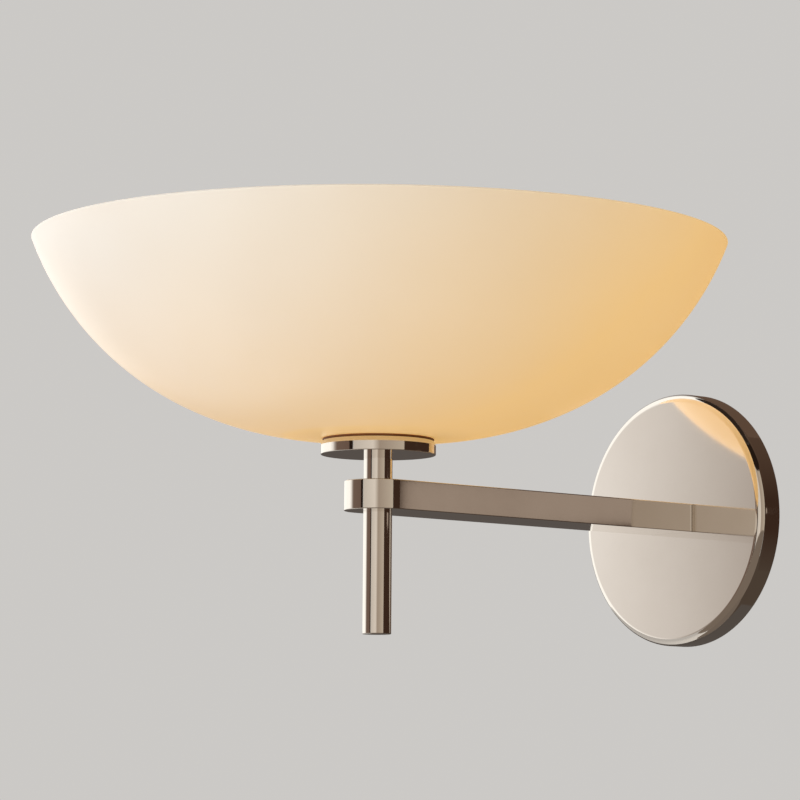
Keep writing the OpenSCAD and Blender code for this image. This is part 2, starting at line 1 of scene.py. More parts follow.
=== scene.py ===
"""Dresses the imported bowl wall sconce: an opal glass bowl on a polished nickel arm and a round canopy.

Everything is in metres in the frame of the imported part. The wall is the plane y = 0, the room lies at -Y,
+Z is up and the arm's centreline is z = 0. Each sub-assembly is a class that builds its pieces as surfaces
worked out on grids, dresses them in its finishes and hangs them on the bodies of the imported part.
"""
from __future__ import annotations

import json
import logging
import math
from dataclasses import dataclass, field
from enum import Enum
from functools import cached_property, lru_cache
from typing import Callable, ClassVar, Sequence

import bmesh
import bpy
import numpy as np
from mathutils import Matrix, Vector


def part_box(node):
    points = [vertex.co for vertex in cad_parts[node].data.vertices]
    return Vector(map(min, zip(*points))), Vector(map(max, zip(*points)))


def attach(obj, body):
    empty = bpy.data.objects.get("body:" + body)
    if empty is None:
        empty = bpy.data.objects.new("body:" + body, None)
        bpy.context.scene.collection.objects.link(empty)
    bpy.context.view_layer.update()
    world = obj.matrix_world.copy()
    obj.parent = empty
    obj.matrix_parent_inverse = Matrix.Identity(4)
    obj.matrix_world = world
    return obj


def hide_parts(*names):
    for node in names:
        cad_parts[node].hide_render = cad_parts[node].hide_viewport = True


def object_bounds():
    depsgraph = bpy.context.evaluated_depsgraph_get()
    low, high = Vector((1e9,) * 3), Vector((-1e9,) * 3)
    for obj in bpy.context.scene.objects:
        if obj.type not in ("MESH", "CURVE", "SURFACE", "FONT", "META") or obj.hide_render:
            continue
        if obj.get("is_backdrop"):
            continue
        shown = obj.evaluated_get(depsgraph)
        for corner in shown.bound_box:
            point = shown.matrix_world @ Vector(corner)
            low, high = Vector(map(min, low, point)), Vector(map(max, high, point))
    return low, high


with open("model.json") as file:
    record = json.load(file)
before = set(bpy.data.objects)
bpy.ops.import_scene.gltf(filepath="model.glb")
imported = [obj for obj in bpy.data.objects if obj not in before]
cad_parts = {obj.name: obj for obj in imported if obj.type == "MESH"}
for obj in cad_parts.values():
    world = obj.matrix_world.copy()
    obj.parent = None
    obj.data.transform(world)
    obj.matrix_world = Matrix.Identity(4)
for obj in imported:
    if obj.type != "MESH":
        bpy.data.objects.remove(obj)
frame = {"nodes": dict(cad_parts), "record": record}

LOG = logging.getLogger("sconce")
FULL_TURN = 2.0 * math.pi
WELD = 1e-7
PACKED_WELD = 1e-6
SUPPORT = 5e-5
CREASE = math.radians(30.0)
NEARLY_FLAT = math.radians(0.5)

Point = tuple[float, float, float]
Colour = tuple[float, float, float]
Section = np.ndarray
Relief = Callable[[np.ndarray, np.ndarray, np.ndarray], np.ndarray]

UP: Point = (0.0, 0.0, 1.0)
DOWN: Point = (0.0, 0.0, -1.0)
TO_ROOM: Point = (0.0, -1.0, 0.0)
TO_WALL: Point = (0.0, 1.0, 0.0)
TO_RIGHT: Point = (1.0, 0.0, 0.0)
TO_LEFT: Point = (-1.0, 0.0, 0.0)

BODY_OF = {node: body for body, nodes in frame["record"]["behaviour"]["bodies"].items() for node in nodes}
BOX_FACES = np.array([(0, 1, 3, 2), (4, 6, 7, 5), (0, 4, 5, 1), (2, 3, 7, 6), (0, 2, 6, 4), (1, 5, 7, 3)])


class Spread(Enum):
    """How a section is carried round its axis."""

    RING = "the section closes on itself, so the piece has a hole along its axis"
    SOLID = "the section starts and ends on the axis"


class Cut(Enum):
    """What carving does with the second shape."""

    AWAY = "DIFFERENCE"
    JOINED = "UNION"


class Grain(Enum):
    """The direction in which a finish is drawn out, as scales of its pattern along x, y and z."""

    EVEN = (1.0, 1.0, 1.0)
    ALONG_STRAP = (1.0, 1.0, 0.05)
    LATHE = (0.15, 0.15, 4.0)


@dataclass(frozen=True)
class Extent:
    """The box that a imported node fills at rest."""

    low: Vector
    high: Vector

    @classmethod
    def of(cls, node: str) -> Extent:
        """The extent of the named node."""
        return cls(*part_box(node))

    @property
    def middle(self) -> Vector:
        """The centre of the box."""
        return (self.low + self.high) / 2

    @property
    def radius(self) -> float:
        """Half the width along x, which is a turned piece's outside radius."""
        return (self.high.x - self.low.x) / 2

    @property
    def height(self) -> float:
        """The size along z."""
        return self.high.z - self.low.z


@dataclass(frozen=True)
class Axis:
    """The line that a turned piece stands on: a start, the way along it and a first sideways direction."""

    start: Point
    along: Point = UP
    sideways: Point = TO_RIGHT

    def place(self, radius: np.ndarray, height: np.ndarray, angle: np.ndarray) -> np.ndarray:
        """Puts cylindrical coordinates into the frame.

        The formula is start + height along + radius (cos angle sideways + sin angle across).

        Args:
            radius: Distances from the axis, one for each grid point.
            height: Distances along the axis.
            angle: Turns round the axis, in radians.

        Returns:
            The points, with x, y and z in the last dimension.
        """
        along, side = np.array(self.along), np.array(self.sideways)
        across = np.cross(along, side)
        out = np.cos(angle)[..., None] * side + np.sin(angle)[..., None] * across
        return np.array(self.start) + height[..., None] * along + radius[..., None] * out


@dataclass
class Surface:
    """Corners and faces of a shape in the making, with its faces grouped by their number of corners."""

    points: np.ndarray
    faces: list[np.ndarray] = field(default_factory=list)

    def __add__(self, other: Surface) -> Surface:
        """Both shapes in one, side by side."""
        shifted = [group + len(self.points) for group in other.faces]
        return Surface(np.concatenate([self.points, other.points]), self.faces + shifted)

    @classmethod
    def taken_from(cls, piece: bpy.types.Object) -> Surface:
        """Takes a helper object out of the scene and keeps its shape.

        Args:
            piece: The helper, which is gone afterwards.

        Returns:
            Its shape.
        """
        mesh = piece.data
        points = np.empty(len(mesh.vertices) * 3)
        mesh.vertices.foreach_get("co", points)
        faces = [np.array([face.vertices[:]]) for face in mesh.polygons]
        bpy.data.objects.remove(piece)
        return cls(points.reshape(-1, 3), faces)

    def build(self, name: str) -> bpy.types.Object:
        """Makes a smooth object with crisp edges, welded seams and faces that point outwards.

        Args:
            name: The piece's name.

        Returns:
            The new object, in the scene, at the origin.
        """
        mesh = bpy.data.meshes.new(name)
        mesh.from_pydata(self.points.tolist(), [], [face for group in self.faces for face in group.tolist()])
        shape = bmesh.new()
        shape.from_mesh(mesh)
        bmesh.ops.remove_doubles(shape, verts=shape.verts, dist=WELD)
        bmesh.ops.recalc_face_normals(shape, faces=shape.faces)
        shape.to_mesh(mesh)
        shape.free()
        return smoothed(put_in_scene(name, mesh))


def put_in_scene(name: str, data: bpy.types.ID) -> bpy.types.Object:
    """Makes an object of a mesh, a lamp or a camera and links it into the scene.

    Args:
        name: The object's name.
        data: What it shows.

    Returns:
        The new object, at the origin.
    """
    thing = bpy.data.objects.new(name, data)
    bpy.context.scene.collection.objects.link(thing)
    return thing


def smoothed(piece: bpy.types.Object) -> bpy.types.Object:
    """Shades a piece smooth, with creases where its faces meet at more than the crease angle.

    Args:
        piece: The piece, whose mesh is changed.

    Returns:
        The same piece.
    """
    mesh = piece.data
    mesh.polygons.foreach_set("use_smooth", np.ones(len(mesh.polygons), bool))
    mesh.set_sharp_from_angle(angle=CREASE)
    mesh.update()
    return piece


def net(points: np.ndarray, closed_rows: bool, closed_columns: bool = True) -> Surface:
    """Joins a grid of points into quads.

    Args:
        points: The grid, rows by columns by 3.
        closed_rows: Whether the last row joins the first one.
        closed_columns: Whether the last column joins the first one.

    Returns:
        The surface through the grid.
    """
    rows, columns = points.shape[:2]
    i = np.arange(rows if closed_rows else rows - 1)[:, None]
    j = np.arange(columns if closed_columns else columns - 1)[None, :]
    below, above = i * columns, (i + 1) % rows * columns
    left, right = j, (j + 1) % columns
    corners = np.stack([below + left, below + right, above + right, above + left], axis=-1)
    return Surface(points.reshape(-1, 3), [corners.reshape(-1, 4)])


def rounded(corners: Sequence[tuple[float, ...]], closed: bool = True, steps: int = 8) -> Section:
    """Draws a section with rounded corners.

    Each corner is (radius, height) or (radius, height, fillet). A filleted corner becomes an arc that
    touches both of its sides, with one extra point on each side just beyond the arc, so that the flats
    shade flat. The arc's points are the two ends' directions mixed by the sines of the parts of its sweep.

    Args:
        corners: The corners in order.
        closed: Whether the last corner joins the first one.
        steps: The number of steps in each arc.

    Returns:
        The section's points, two columns: radius and height.
    """
    spots = np.array([corner[:2] for corner in corners], float)
    fillets = [corner[2] if len(corner) > 2 else 0.0 for corner in corners]
    count, parts = len(corners), []
    for k, (spot, fillet) in enumerate(zip(spots, fillets)):
        if fillet <= 0 or (not closed and k in (0, count - 1)):
            parts.append(spot[None])
            continue
        before, after = spots[k - 1] - spot, spots[(k + 1) % count] - spot
        a, b = before / np.linalg.norm(before), after / np.linalg.norm(after)
        half = math.acos(np.clip(a @ b, -1, 1)) / 2
        reach = fillet / math.tan(half)
        middle = spot + (a + b) / np.linalg.norm(a + b) * fillet / math.sin(half)
        first, last = spot + a * reach - middle, spot + b * reach - middle
        sweep = math.pi - 2 * half
        t = np.linspace(0, 1, steps + 1)[:, None]
        arc = (np.sin((1 - t) * sweep) * first + np.sin(t * sweep) * last) / math.sin(sweep)
        parts.append(np.vstack([spot + a * (reach + SUPPORT), middle + arc, spot + b * (reach + SUPPORT)]))
    return np.vstack(parts)


def band(inner: float, outer: float, low: float, high: float, inner_edge: float, outer_edge: float,
         steps: int) -> Section:
    """Draws the section of a flat ring with eased edges.

    Args:
        inner: The ring's inner radius.
        outer: Its outer radius.
        low: The height of its underside.
        high: The height of its top.
        inner_edge: The rounding of its inner edges.
        outer_edge: The rounding of its outer edges.
        steps: The number of steps in each rounding.

    Returns:
        The section's points, radius and height.
    """
    return rounded([(inner, low, inner_edge), (outer, low, outer_edge), (outer, high, outer_edge),
                    (inner, high, inner_edge)], steps=steps)


def upright(radius: float, low: float, high: float, points: int) -> Section:
    """Draws the straight side of a section, with enough points for a thread to rise from it.

    Args:
        radius: The radius of the side.
        low: The height where it starts.
        high: The height where it ends.
        points: The number of its points.

    Returns:
        The side's points, radius and height.
    """
    heights = np.linspace(low, high, points)
    return np.column_stack([np.full_like(heights, radius), heights])


def turned(axis: Axis, section: Section, spread: Spread = Spread.RING, steps: int = 128,
           relief: Relief | None = None) -> Surface:
    """Turns a section about an axis.

    The formula is the axis' place for (radius + relief, height, angle), over the section's points and the
    turn.

    Args:
        axis: The axis to turn about.
        section: Radius and height of the section's points.
        spread: Whether the section closes on itself or ends on the axis.
        steps: The number of steps round the axis.
        relief: What is added to the radius, from radius, height and angle.

    Returns:
        The turned surface.
    """
    angle = np.linspace(0, FULL_TURN, steps, endpoint=False)
    radius, angles = np.meshgrid(section[:, 0], angle, indexing="ij")
    height = np.repeat(section[:, 1][:, None], steps, axis=1)
    if relief is not None:
        radius = radius + relief(radius, height, angles)
    return net(axis.place(radius, height, angles), spread is Spread.RING)


def rod(axis: Axis, radius: float, low: float, high: float, steps: int = 64) -> Surface:
    """Makes a plain round rod along an axis, for cutting holes.

    Args:
        axis: The axis that it lies on.
        radius: Its radius.
        low: Where it starts along the axis.
        high: Where it ends.
        steps: The number of steps round it.

    Returns:
        The rod.
    """
    section = np.array([(0, low), (radius, low), (radius, high), (0, high)])
    return turned(axis, section, Spread.SOLID, steps)


def block(middle: Point, size: Point) -> Surface:
    """A plain box for cutting away whatever lies in it."""
    signs = np.array([(x, y, z) for x in (-1, 1) for y in (-1, 1) for z in (-1, 1)]) / 2
    return Surface(np.array(middle) + signs * np.array(size), [BOX_FACES])


@dataclass(frozen=True)
class Thread:
    """The relief of a rolled thread, faded in and out over one pitch at both ends."""

    root: float
    depth: float
    pitch: float
    low: float
    high: float

    def __call__(self, radius: np.ndarray, height: np.ndarray, angle: np.ndarray) -> np.ndarray:
        """Gives the thread's rise above its root.

        The formula is depth times half of (1 - cos) of the turn, where the turn is height over pitch less
        the angle, times the fade, which is 3 f^2 - 2 f^3 of the share f of a pitch to the nearer end.

        Args:
            radius: Distances from the axis; points nearer than the root stay as they are.
            height: Distances along the axis.
            angle: Turns round the axis, in radians.

        Returns:
            What is added to the radius.
        """
        turn = FULL_TURN * height / self.pitch - angle
        fade = np.clip(np.minimum(height - self.low, self.high - height) / self.pitch, 0, 1)
        rise = self.depth * (1 - np.cos(turn)) / 2 * fade * fade * (3 - 2 * fade)
        return np.where(radius >= self.root - WELD, rise, 0.0)


@dataclass(frozen=True)
class GripNotches:
    """The relief of round notches along the rim of a ring."""

    count: int
    radius: float
    rim: float
    fade: float = 0.002

    def __call__(self, radius: np.ndarray, height: np.ndarray, angle: np.ndarray) -> np.ndarray:
        """Gives how far the rim is pulled in.

        At an angle off a notch's middle the rim lies at the near side of a circle whose centre is half a
        notch radius outside the rim: centre cos off - root of (notch radius squared - (centre sin off)
        squared).

        Args:
            radius: Distances from the axis; the notches fade out a little way in from the rim.
            height: Distances along the axis, which the notches don't depend on.
            angle: Turns round the axis, in radians.

        Returns:
            What is added to the radius, never above 0.
        """
        centre = self.rim + self.radius / 2
        pitch = FULL_TURN / self.count
        off = (angle + pitch / 2) % pitch - pitch / 2
        inside = np.clip(self.radius ** 2 - (centre * np.sin(off)) ** 2, 0, None)
        near = centre * np.cos(off) - np.sqrt(inside)
        cut = np.where(inside > 0, np.minimum(near - self.rim, 0.0), 0.0)
        return cut * np.clip((radius - (self.rim - self.fade)) / self.fade, 0, 1)


def tube(path: np.ndarray, radius: float, sides: int) -> Surface:
    """Carries a circle along a path.

    Each ring stands square to the path, and its first direction is the last ring's, laid into the new
    ring's plane, so the tube doesn't twist. Both ends are closed flat.

    Args:
        path: The points of the path.
        radius: The tube's radius.
        sides: The number of sides.

    Returns:
        The tube.
    """
    way = np.gradient(path, axis=0)
    way /= np.linalg.norm(way, axis=1)[:, None]
    first = np.cross(way[0], np.roll(way[0], 1))
    normals = []
    for step in way:
        first = first - step * (first @ step)
        first = first / np.linalg.norm(first)
        normals.append(first)
    normal = np.array(normals)
    other = np.cross(way, normal)
    angle = np.linspace(0, FULL_TURN, sides, endpoint=False)
    ring = np.cos(angle)[None, :, None] * normal[:, None] + np.sin(angle)[None, :, None] * other[:, None]
    shape = net(path[:, None] + radius * ring, closed_rows=False)
    ends = [np.arange(sides)[None], (len(path) - 1) * sides + np.arange(sides)[None]]
    return Surface(shape.points, shape.faces + ends)


def flowing(points: np.ndarray, per_span: int = 6) -> np.ndarray:
    """Runs a smooth line through a route's points.

    Between two points it is the cubic that leaves and arrives along the direction from the point before
    to the point after, at a speed of the distance between the two, so it stays close to the route.

    Args:
        points: The route's points.
        per_span: The number of steps between two of them.

    Returns:
        The line's points.
    """
    around = np.vstack([2 * points[0] - points[1], points, 2 * points[-1] - points[-2]])
    way = around[2:] - around[:-2]
    way /= np.linalg.norm(way, axis=1)[:, None]
    start, end = points[:-1, None], points[1:, None]
    span = np.linalg.norm(end - start, axis=2)[..., None]
    t = np.linspace(0, 1, per_span, endpoint=False)[None, :, None]
    line = ((2 * t ** 3 - 3 * t ** 2 + 1) * start + (t ** 3 - 2 * t ** 2 + t) * span * way[:-1, None]
            + (3 * t ** 2 - 2 * t ** 3) * end + (t ** 3 - t ** 2) * span * way[1:, None])
    return np.vstack([line.reshape(-1, 3), points[-1:]])


def carved(piece: bpy.types.Object, shape: Surface, cut: Cut = Cut.AWAY) -> bpy.types.Object:
    """Cuts a shape out of a piece, or joins it on, and keeps the result as the piece's own mesh.

    Args:
        piece: The piece to work on.
        shape: The shape to cut out or to join on.
        cut: Which of the two it is.

    Returns:
        The same piece.
    """
    tool = shape.build(piece.name + ".cutter")
    change = piece.modifiers.new("cut", "BOOLEAN")
    change.operation, change.solver, change.object = cut.value, "EXACT", tool
    view = bpy.context.evaluated_depsgraph_get()
    mesh = bpy.data.meshes.new_from_object(piece.evaluated_get(view))
    piece.modifiers.clear()
    piece.data = mesh
    bpy.data.objects.remove(tool)
    return smoothed(piece)


def eased_copy(node: str, name: str, edge: float) -> bpy.types.Object:
    """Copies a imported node's mesh, welds it and rounds its sharp edges a little.

    Args:
        node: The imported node.
        name: The new piece's name.
        edge: The width of the rounding.

    Returns:
        The new piece, which lies where the node lies.
    """
    mesh = frame["nodes"][node].data.copy()
    mesh.name = name
    mesh.materials.clear()
    shape = bmesh.new()
    shape.from_mesh(mesh)
    bmesh.ops.remove_doubles(shape, verts=shape.verts, dist=PACKED_WELD)
    bmesh.ops.dissolve_limit(shape, angle_limit=NEARLY_FLAT, verts=shape.verts, edges=shape.edges)
    shape.to_mesh(mesh)
    shape.free()
    piece = put_in_scene(name, mesh)
    bevel = piece.modifiers.new("eased edges", "BEVEL")
    bevel.width, bevel.segments = edge, 2
    bevel.limit_method, bevel.angle_limit = "ANGLE", CREASE
    return smoothed(piece)


class NodeSheet:
    """Short hand for the nodes of one material that has a Principled shader."""

    def __init__(self, material: bpy.types.Material) -> None:
        """Opens a material that is there already.

        Args:
            material: The material, which has a Principled shader.
        """
        self.material = material
        self.tree = material.node_tree
        self.shader = self.tree.nodes["Principled BSDF"]

    @classmethod
    def named(cls, name: str) -> NodeSheet:
        """Starts a material with a bare Principled shader.

        Args:
            name: The material's name.

        Returns:
            The sheet of the new material.
        """
        material = bpy.data.materials.new(name)
        material.use_nodes = True
        return cls(material)

    def set(self, **values: object) -> None:
        """Sets the shader's own sockets, with underscores for the spaces in their names."""
        for name, value in values.items():
            self.shader.inputs[name.replace("_", " ")].default_value = value

    def give(self, socket: bpy.types.NodeSocket, value: object) -> None:
        """Links a value that is a socket, and sets any other.

        Args:
            socket: The input that takes the value.
            value: A number, a colour or an output of another node.
        """
        if isinstance(value, bpy.types.NodeSocket):
            self.tree.links.new(value, socket)
        else:
            socket.default_value = value

    def add(self, kind: str, **inputs: object) -> bpy.types.Node:
        """Adds a node; an input that is a socket is linked, and any other is set.

        Args:
            kind: The node's type, without the ShaderNode at its front.
            **inputs: Values by the socket's name, with underscores for spaces.

        Returns:
            The new node.
        """
        node = self.tree.nodes.new("ShaderNode" + kind)
        for name, value in inputs.items():
            self.give(node.inputs[name.replace("_", " ")], value)
        return node

    def feed(self, socket_name: str, source: bpy.types.NodeSocket) -> None:
        """Links a source to one of the shader's sockets."""
        self.tree.links.new(source, self.shader.inputs[socket_name])

    def place(self, grain: Grain = Grain.EVEN) -> bpy.types.NodeSocket:
        """Object coordinates, scaled along each axis by the grain."""
        spot = self.add("TexCoord").outputs["Object"]
        return self.add("Mapping", Vector=spot, Scale=grain.value).outputs["Vector"]

    def noise(self, spot: bpy.types.NodeSocket, per_metre: float, detail: float = 3.0,
              rough: float = 0.5) -> bpy.types.NodeSocket:
        """Makes soft noise from 0 to 1.

        Args:
            spot: The coordinates that it reads.
            per_metre: How many features it has in a metre.
            detail: How many finer layers it has.
            rough: How strong the finer layers are.

        Returns:
            The noise.
        """
        node = self.add("TexNoise", Vector=spot, Scale=per_metre, Detail=detail, Roughness=rough)
        return node.outputs["Fac"]

    def ranged(self, value: bpy.types.NodeSocket, low: float, high: float, start: float = 0.3,
               end: float = 0.7) -> bpy.types.NodeSocket:
        """Spreads what lies between start and end over low to high.

        Args:
            value: The value to spread.
            low: What start becomes, and everything before it.
            high: What end becomes, and everything after it.
            start: The first value of the range.
            end: The last one.

        Returns:
            The spread value.
        """
        node = self.add("MapRange", Value=value, From_Min=start, From_Max=end, To_Min=low, To_Max=high)
        return node.outputs["Result"]

    def mixed(self, share: bpy.types.NodeSocket, first: Colour, second: Colour) -> bpy.types.NodeSocket:
        """Runs from one colour to another.

        Args:
            share: From 0 for the first colour to 1 for the second.
            first: The first colour.
            second: The second colour.

        Returns:
            The colour in between.
        """
        node = self.add("ValToRGB", Fac=share)
        node.color_ramp.elements[0].color = (*first, 1.0)
        node.color_ramp.elements[1].color = (*second, 1.0)
        return node.outputs["Color"]

    def math(self, operation: str, first: object, second: object) -> bpy.types.NodeSocket:
        """Works out one sum.

        Args:
            operation: The name of the Math node's operation.
            first: Its first value, a number or a socket.
            second: Its second value, a number or a socket.

        Returns:
            The sum's result.
        """
        node = self.add("Math")
        node.operation = operation
        self.give(node.inputs[0], first)
        self.give(node.inputs[1], second)
        return node.outputs["Value"]

    def blend(self, first: bpy.types.NodeSocket, second: bpy.types.NodeSocket,
              share: float) -> bpy.types.NodeSocket:
        """Adds a share of the first pattern to the rest of the second.

        Args:
            first: The first pattern.
            second: The second pattern.
            share: How much the first one counts, from 0 to 1.

        Returns:
            The blended pattern.
        """
        part = self.math("MULTIPLY", first, share)
        return self.math("ADD", part, self.math("MULTIPLY", second, 1.0 - share))

    def bump(self, height: bpy.types.NodeSocket, depth: float, strength: float = 1.0) -> None:
        """Raises the surface by up to depth, in metres."""
        node = self.add("Bump", Height=height, Distance=depth, Strength=strength)
        self.feed("Normal", node.outputs["Normal"])


def seen_or_mirrored(tree: bpy.types.NodeTree) -> bpy.types.NodeSocket:
    """Tells what is seen by the camera, in a mirror or through glass from what only lights other things.

    Args:
        tree: The node tree of a material or of the world.

    Returns:
        1 where the ray comes from the camera, a mirror or glass, and 0 elsewhere.
    """
    path = tree.nodes.new("ShaderNodeLightPath")
    seen = path.outputs["Is Camera Ray"]
    for kind in ("Is Glossy Ray", "Is Transmission Ray"):
        either = tree.nodes.new("ShaderNodeMath")
        either.operation = "MAXIMUM"
        tree.links.new(seen, either.inputs[0])
        tree.links.new(path.outputs[kind], either.inputs[1])
        seen = either.outputs["Value"]
    return seen


@dataclass(frozen=True)
class Finish:
    """One surface finish: two close tones, a range of roughness and a fine relief, broken up by noise."""

    slot: str
    tone: Colour
    second_tone: Colour
    roughness: tuple[float, float]
    metallic: float = 0.0
    patches: float = 60.0
    grain: float = 900.0
    grain_way: Grain = Grain.EVEN
    relief: float = 4e-6
    coat: float = 0.0
    specular: float = 0.5

    @cached_property
    def material(self) -> bpy.types.Material:
        """The finish's material, made once.

        Returns:
            The material, named for its slot.
        """
        sheet = NodeSheet.named(self.slot)
        sheet.set(Metallic=self.metallic, Coat_Weight=self.coat, Specular_IOR_Level=self.specular)
        self.paint(sheet)
        return sheet.material

    def paint(self, sheet: NodeSheet) -> None:
        """Takes colour from broad patches, roughness from patches and grain, and relief from the grain.

        Args:
            sheet: The sheet of the finish's material.
        """
        patches = sheet.noise(sheet.place(), self.patches, detail=4.0)
        grain = sheet.noise(sheet.place(self.grain_way), self.grain, detail=5.0, rough=0.6)
        sheet.feed("Base Color", sheet.mixed(sheet.ranged(patches, 0.0, 1.0), self.tone, self.second_tone))
        sheet.feed("Roughness", sheet.ranged(sheet.blend(patches, grain, 0.5), *self.roughness))
        sheet.bump(grain, self.relief)


@dataclass(frozen=True)
class MirrorFinish(Finish):
    """A mirror polish: nearly smooth, with hair-fine polishing lines and a faint bloom from handling."""

    bloom: float = 14.0
    bloom_share: float = 0.6
    lines: float = 2600.0
    line_strength: float = 0.5

    def paint(self, sheet: NodeSheet) -> None:
        """Takes roughness from bloom and lines, colour from the bloom, and a relief too fine to bend images.

        Args:
            sheet: The sheet of the finish's material.
        """
        bloom = sheet.noise(sheet.place(), self.bloom, detail=5.0, rough=0.65)
        lines = sheet.noise(sheet.place(self.grain_way), self.lines, detail=2.0)
        sheet.feed("Base Color", sheet.mixed(sheet.ranged(bloom, 0.0, 1.0), self.tone, self.second_tone))
        sheet.feed("Roughness", sheet.ranged(sheet.blend(bloom, lines, self.bloom_share), *self.roughness))
        sheet.bump(lines, self.relief, self.line_strength)


@dataclass(frozen=True)
class SpunFinish(MirrorFinish):
    """The mirror polish of a spun shell whose inside is left as it comes off the lathe, satin and paler."""

    inner_radius: float = 0.0621
    inner_y: float = -0.0117
    satin: float = 0.32
    inner_metal: float = 0.45

    def paint(self, sheet: NodeSheet) -> None:
        """Turns the polish to satin on the inside, which lies behind the face and within the wall.

        Args:
            sheet: The sheet of the finish's material.
        """
        super().paint(sheet)
        spot = sheet.add("SeparateXYZ", Vector=sheet.place())
        squares = [sheet.math("MULTIPLY", spot.outputs[axis], spot.outputs[axis]) for axis in ("X", "Z")]
        within = sheet.math("LESS_THAN", sheet.math("ADD", *squares), self.inner_radius ** 2)
        behind = sheet.math("GREATER_THAN", spot.outputs["Y"], self.inner_y)
        inside = sheet.math("MULTIPLY", within, behind)
        polish = sheet.shader.inputs["Roughness"].links[0].from_socket
        sheet.feed("Roughness", sheet.math("ADD", polish, sheet.math("MULTIPLY", inside, self.satin)))
        less = sheet.math("MULTIPLY", inside, 1 - self.inner_metal)
        sheet.feed("Metallic", sheet.math("SUBTRACT", 1.0, less))


@dataclass(frozen=True)
class PaintedGlowGlass(Finish):
    """Satin opal glass with an etched skin over a painted warm glow: emission that stands in for the lamp's
    light through the glass, deeper towards the wall as painted wall bounce.
    """

    # Tones of the painted glow, which stands in for the lamp's light through the glass.
    pale_painted_glow: Colour = (0.31, 0.28, 0.26)
    deep_painted_glow: Colour = (0.59, 0.33, 0.075)
    # Ranges and strengths of the painted wall bounce, the painted warm light at the foot and by the seat,
    # and the painted contact shadow above the seat.
    front_y: float = -0.36
    wall_y: float = -0.14
    rim_z: float = 0.12
    foot_z: float = 0.03
    painted_foot_warmth: float = 0.32
    seat_z: float = 0.0272
    painted_shade_top_z: float = 0.0288
    painted_seat_shade: float = 0.84
    painted_seat_warmth: float = 0.60
    clouds: float = 7.0
    cloud_depth: float = 0.08

    def paint(self, sheet: NodeSheet) -> None:
        """Warms the painted glow from front to wall and from rim to foot, with slow clouding.

        The share of the deep glow is the way to the wall plus the way down to the foot plus the closeness to
        the seat, less the clouds; all three are painted warm light. A painted contact shadow takes some
        strength off right above the seat.

        Args:
            sheet: The sheet of the finish's material.
        """
        super().paint(sheet)
        spot = sheet.add("SeparateXYZ", Vector=sheet.place())
        height = spot.outputs["Z"]
        # Painted wall bounce: the glow warms towards the wall.
        along = sheet.ranged(spot.outputs["Y"], 0.0, 1.0, self.front_y, self.wall_y)
        clouds = sheet.noise(sheet.place(), self.clouds, detail=2.0)
        # Painted warm light, growing down towards the foot and close to the seat.
        down = sheet.ranged(height, self.painted_foot_warmth, 0.0, self.foot_z, self.rim_z)
        near = sheet.ranged(height, self.painted_seat_warmth, 0.0, self.seat_z, self.painted_shade_top_z)
        warmth = sheet.math("ADD", sheet.math("ADD", along, down), near)
        share = sheet.math("ADD", warmth, sheet.ranged(clouds, -self.cloud_depth, 0.0))
        sheet.feed("Emission Color", sheet.mixed(share, self.pale_painted_glow, self.deep_painted_glow))
        # Painted contact shadow: the glow dims right above the seat.
        strength = sheet.ranged(height, self.painted_seat_shade, 1.0, self.seat_z, self.painted_shade_top_z)
        sheet.feed("Emission Strength", strength)


@dataclass(frozen=True)
class LitFinish(Finish):
    """A plastic that glows by itself, such as the lamp's globe."""

    light: Colour = (1.0, 0.72, 0.42)
    strength: float = 0.6

    def paint(self, sheet: NodeSheet) -> None:
        """The plain finish with an even light."""
        super().paint(sheet)
        sheet.set(Emission_Color=(*self.light, 1.0), Emission_Strength=self.strength)


@dataclass(frozen=True)
class FleckedFinish(Finish):
    """Pressed fibre: a matt sheet with darker flecks pressed into it."""

    flecks: float = 1500.0
    fleck_share: float = 0.6
    haze_share: float = 0.5

    def paint(self, sheet: NodeSheet) -> None:
        """Makes flecks of the inner parts of small cells, with the relief along them.

        Args:
            sheet: The sheet of the finish's material.
        """
        cells = sheet.add("TexVoronoi", Vector=sheet.place(), Scale=self.flecks).outputs["Distance"]
        haze = sheet.noise(sheet.place(), self.patches)
        flecked = sheet.math("MULTIPLY", cells, self.fleck_share)
        share = sheet.math("ADD", flecked, sheet.math("MULTIPLY", haze, self.haze_share))
        sheet.feed("Base Color", sheet.mixed(share, self.second_tone, self.tone))
        sheet.feed("Roughness", sheet.ranged(haze, *self.roughness))
        sheet.bump(cells, self.relief)


@dataclass(frozen=True)
class StripedSleeve(Finish):
    """A wire's sleeve with a stripe down one side, where the wire's attribute passes a share of a turn."""

    stripe: Colour = (0.70, 0.55, 0.02)
    attribute: str = "round"
    stripe_from: float = 0.62

    def paint(self, sheet: NodeSheet) -> None:
        """Lays the stripe over the plain finish.

        Args:
            sheet: The sheet of the finish's material.
        """
        super().paint(sheet)
        side = sheet.add("Attribute")
        side.attribute_name = self.attribute
        mark = sheet.math("GREATER_THAN", side.outputs["Fac"], self.stripe_from)
        sheet.feed("Base Color", sheet.mixed(mark, self.tone, self.stripe))


NICKEL = MirrorFinish("polished_nickel", (0.80, 0.765, 0.72), (0.76, 0.72, 0.67), (0.035, 0.085),
                      metallic=1.0, relief=2e-7)
SPUN = SpunFinish("polished_nickel", NICKEL.tone, NICKEL.second_tone, NICKEL.roughness, metallic=1.0,
                  relief=NICKEL.relief)
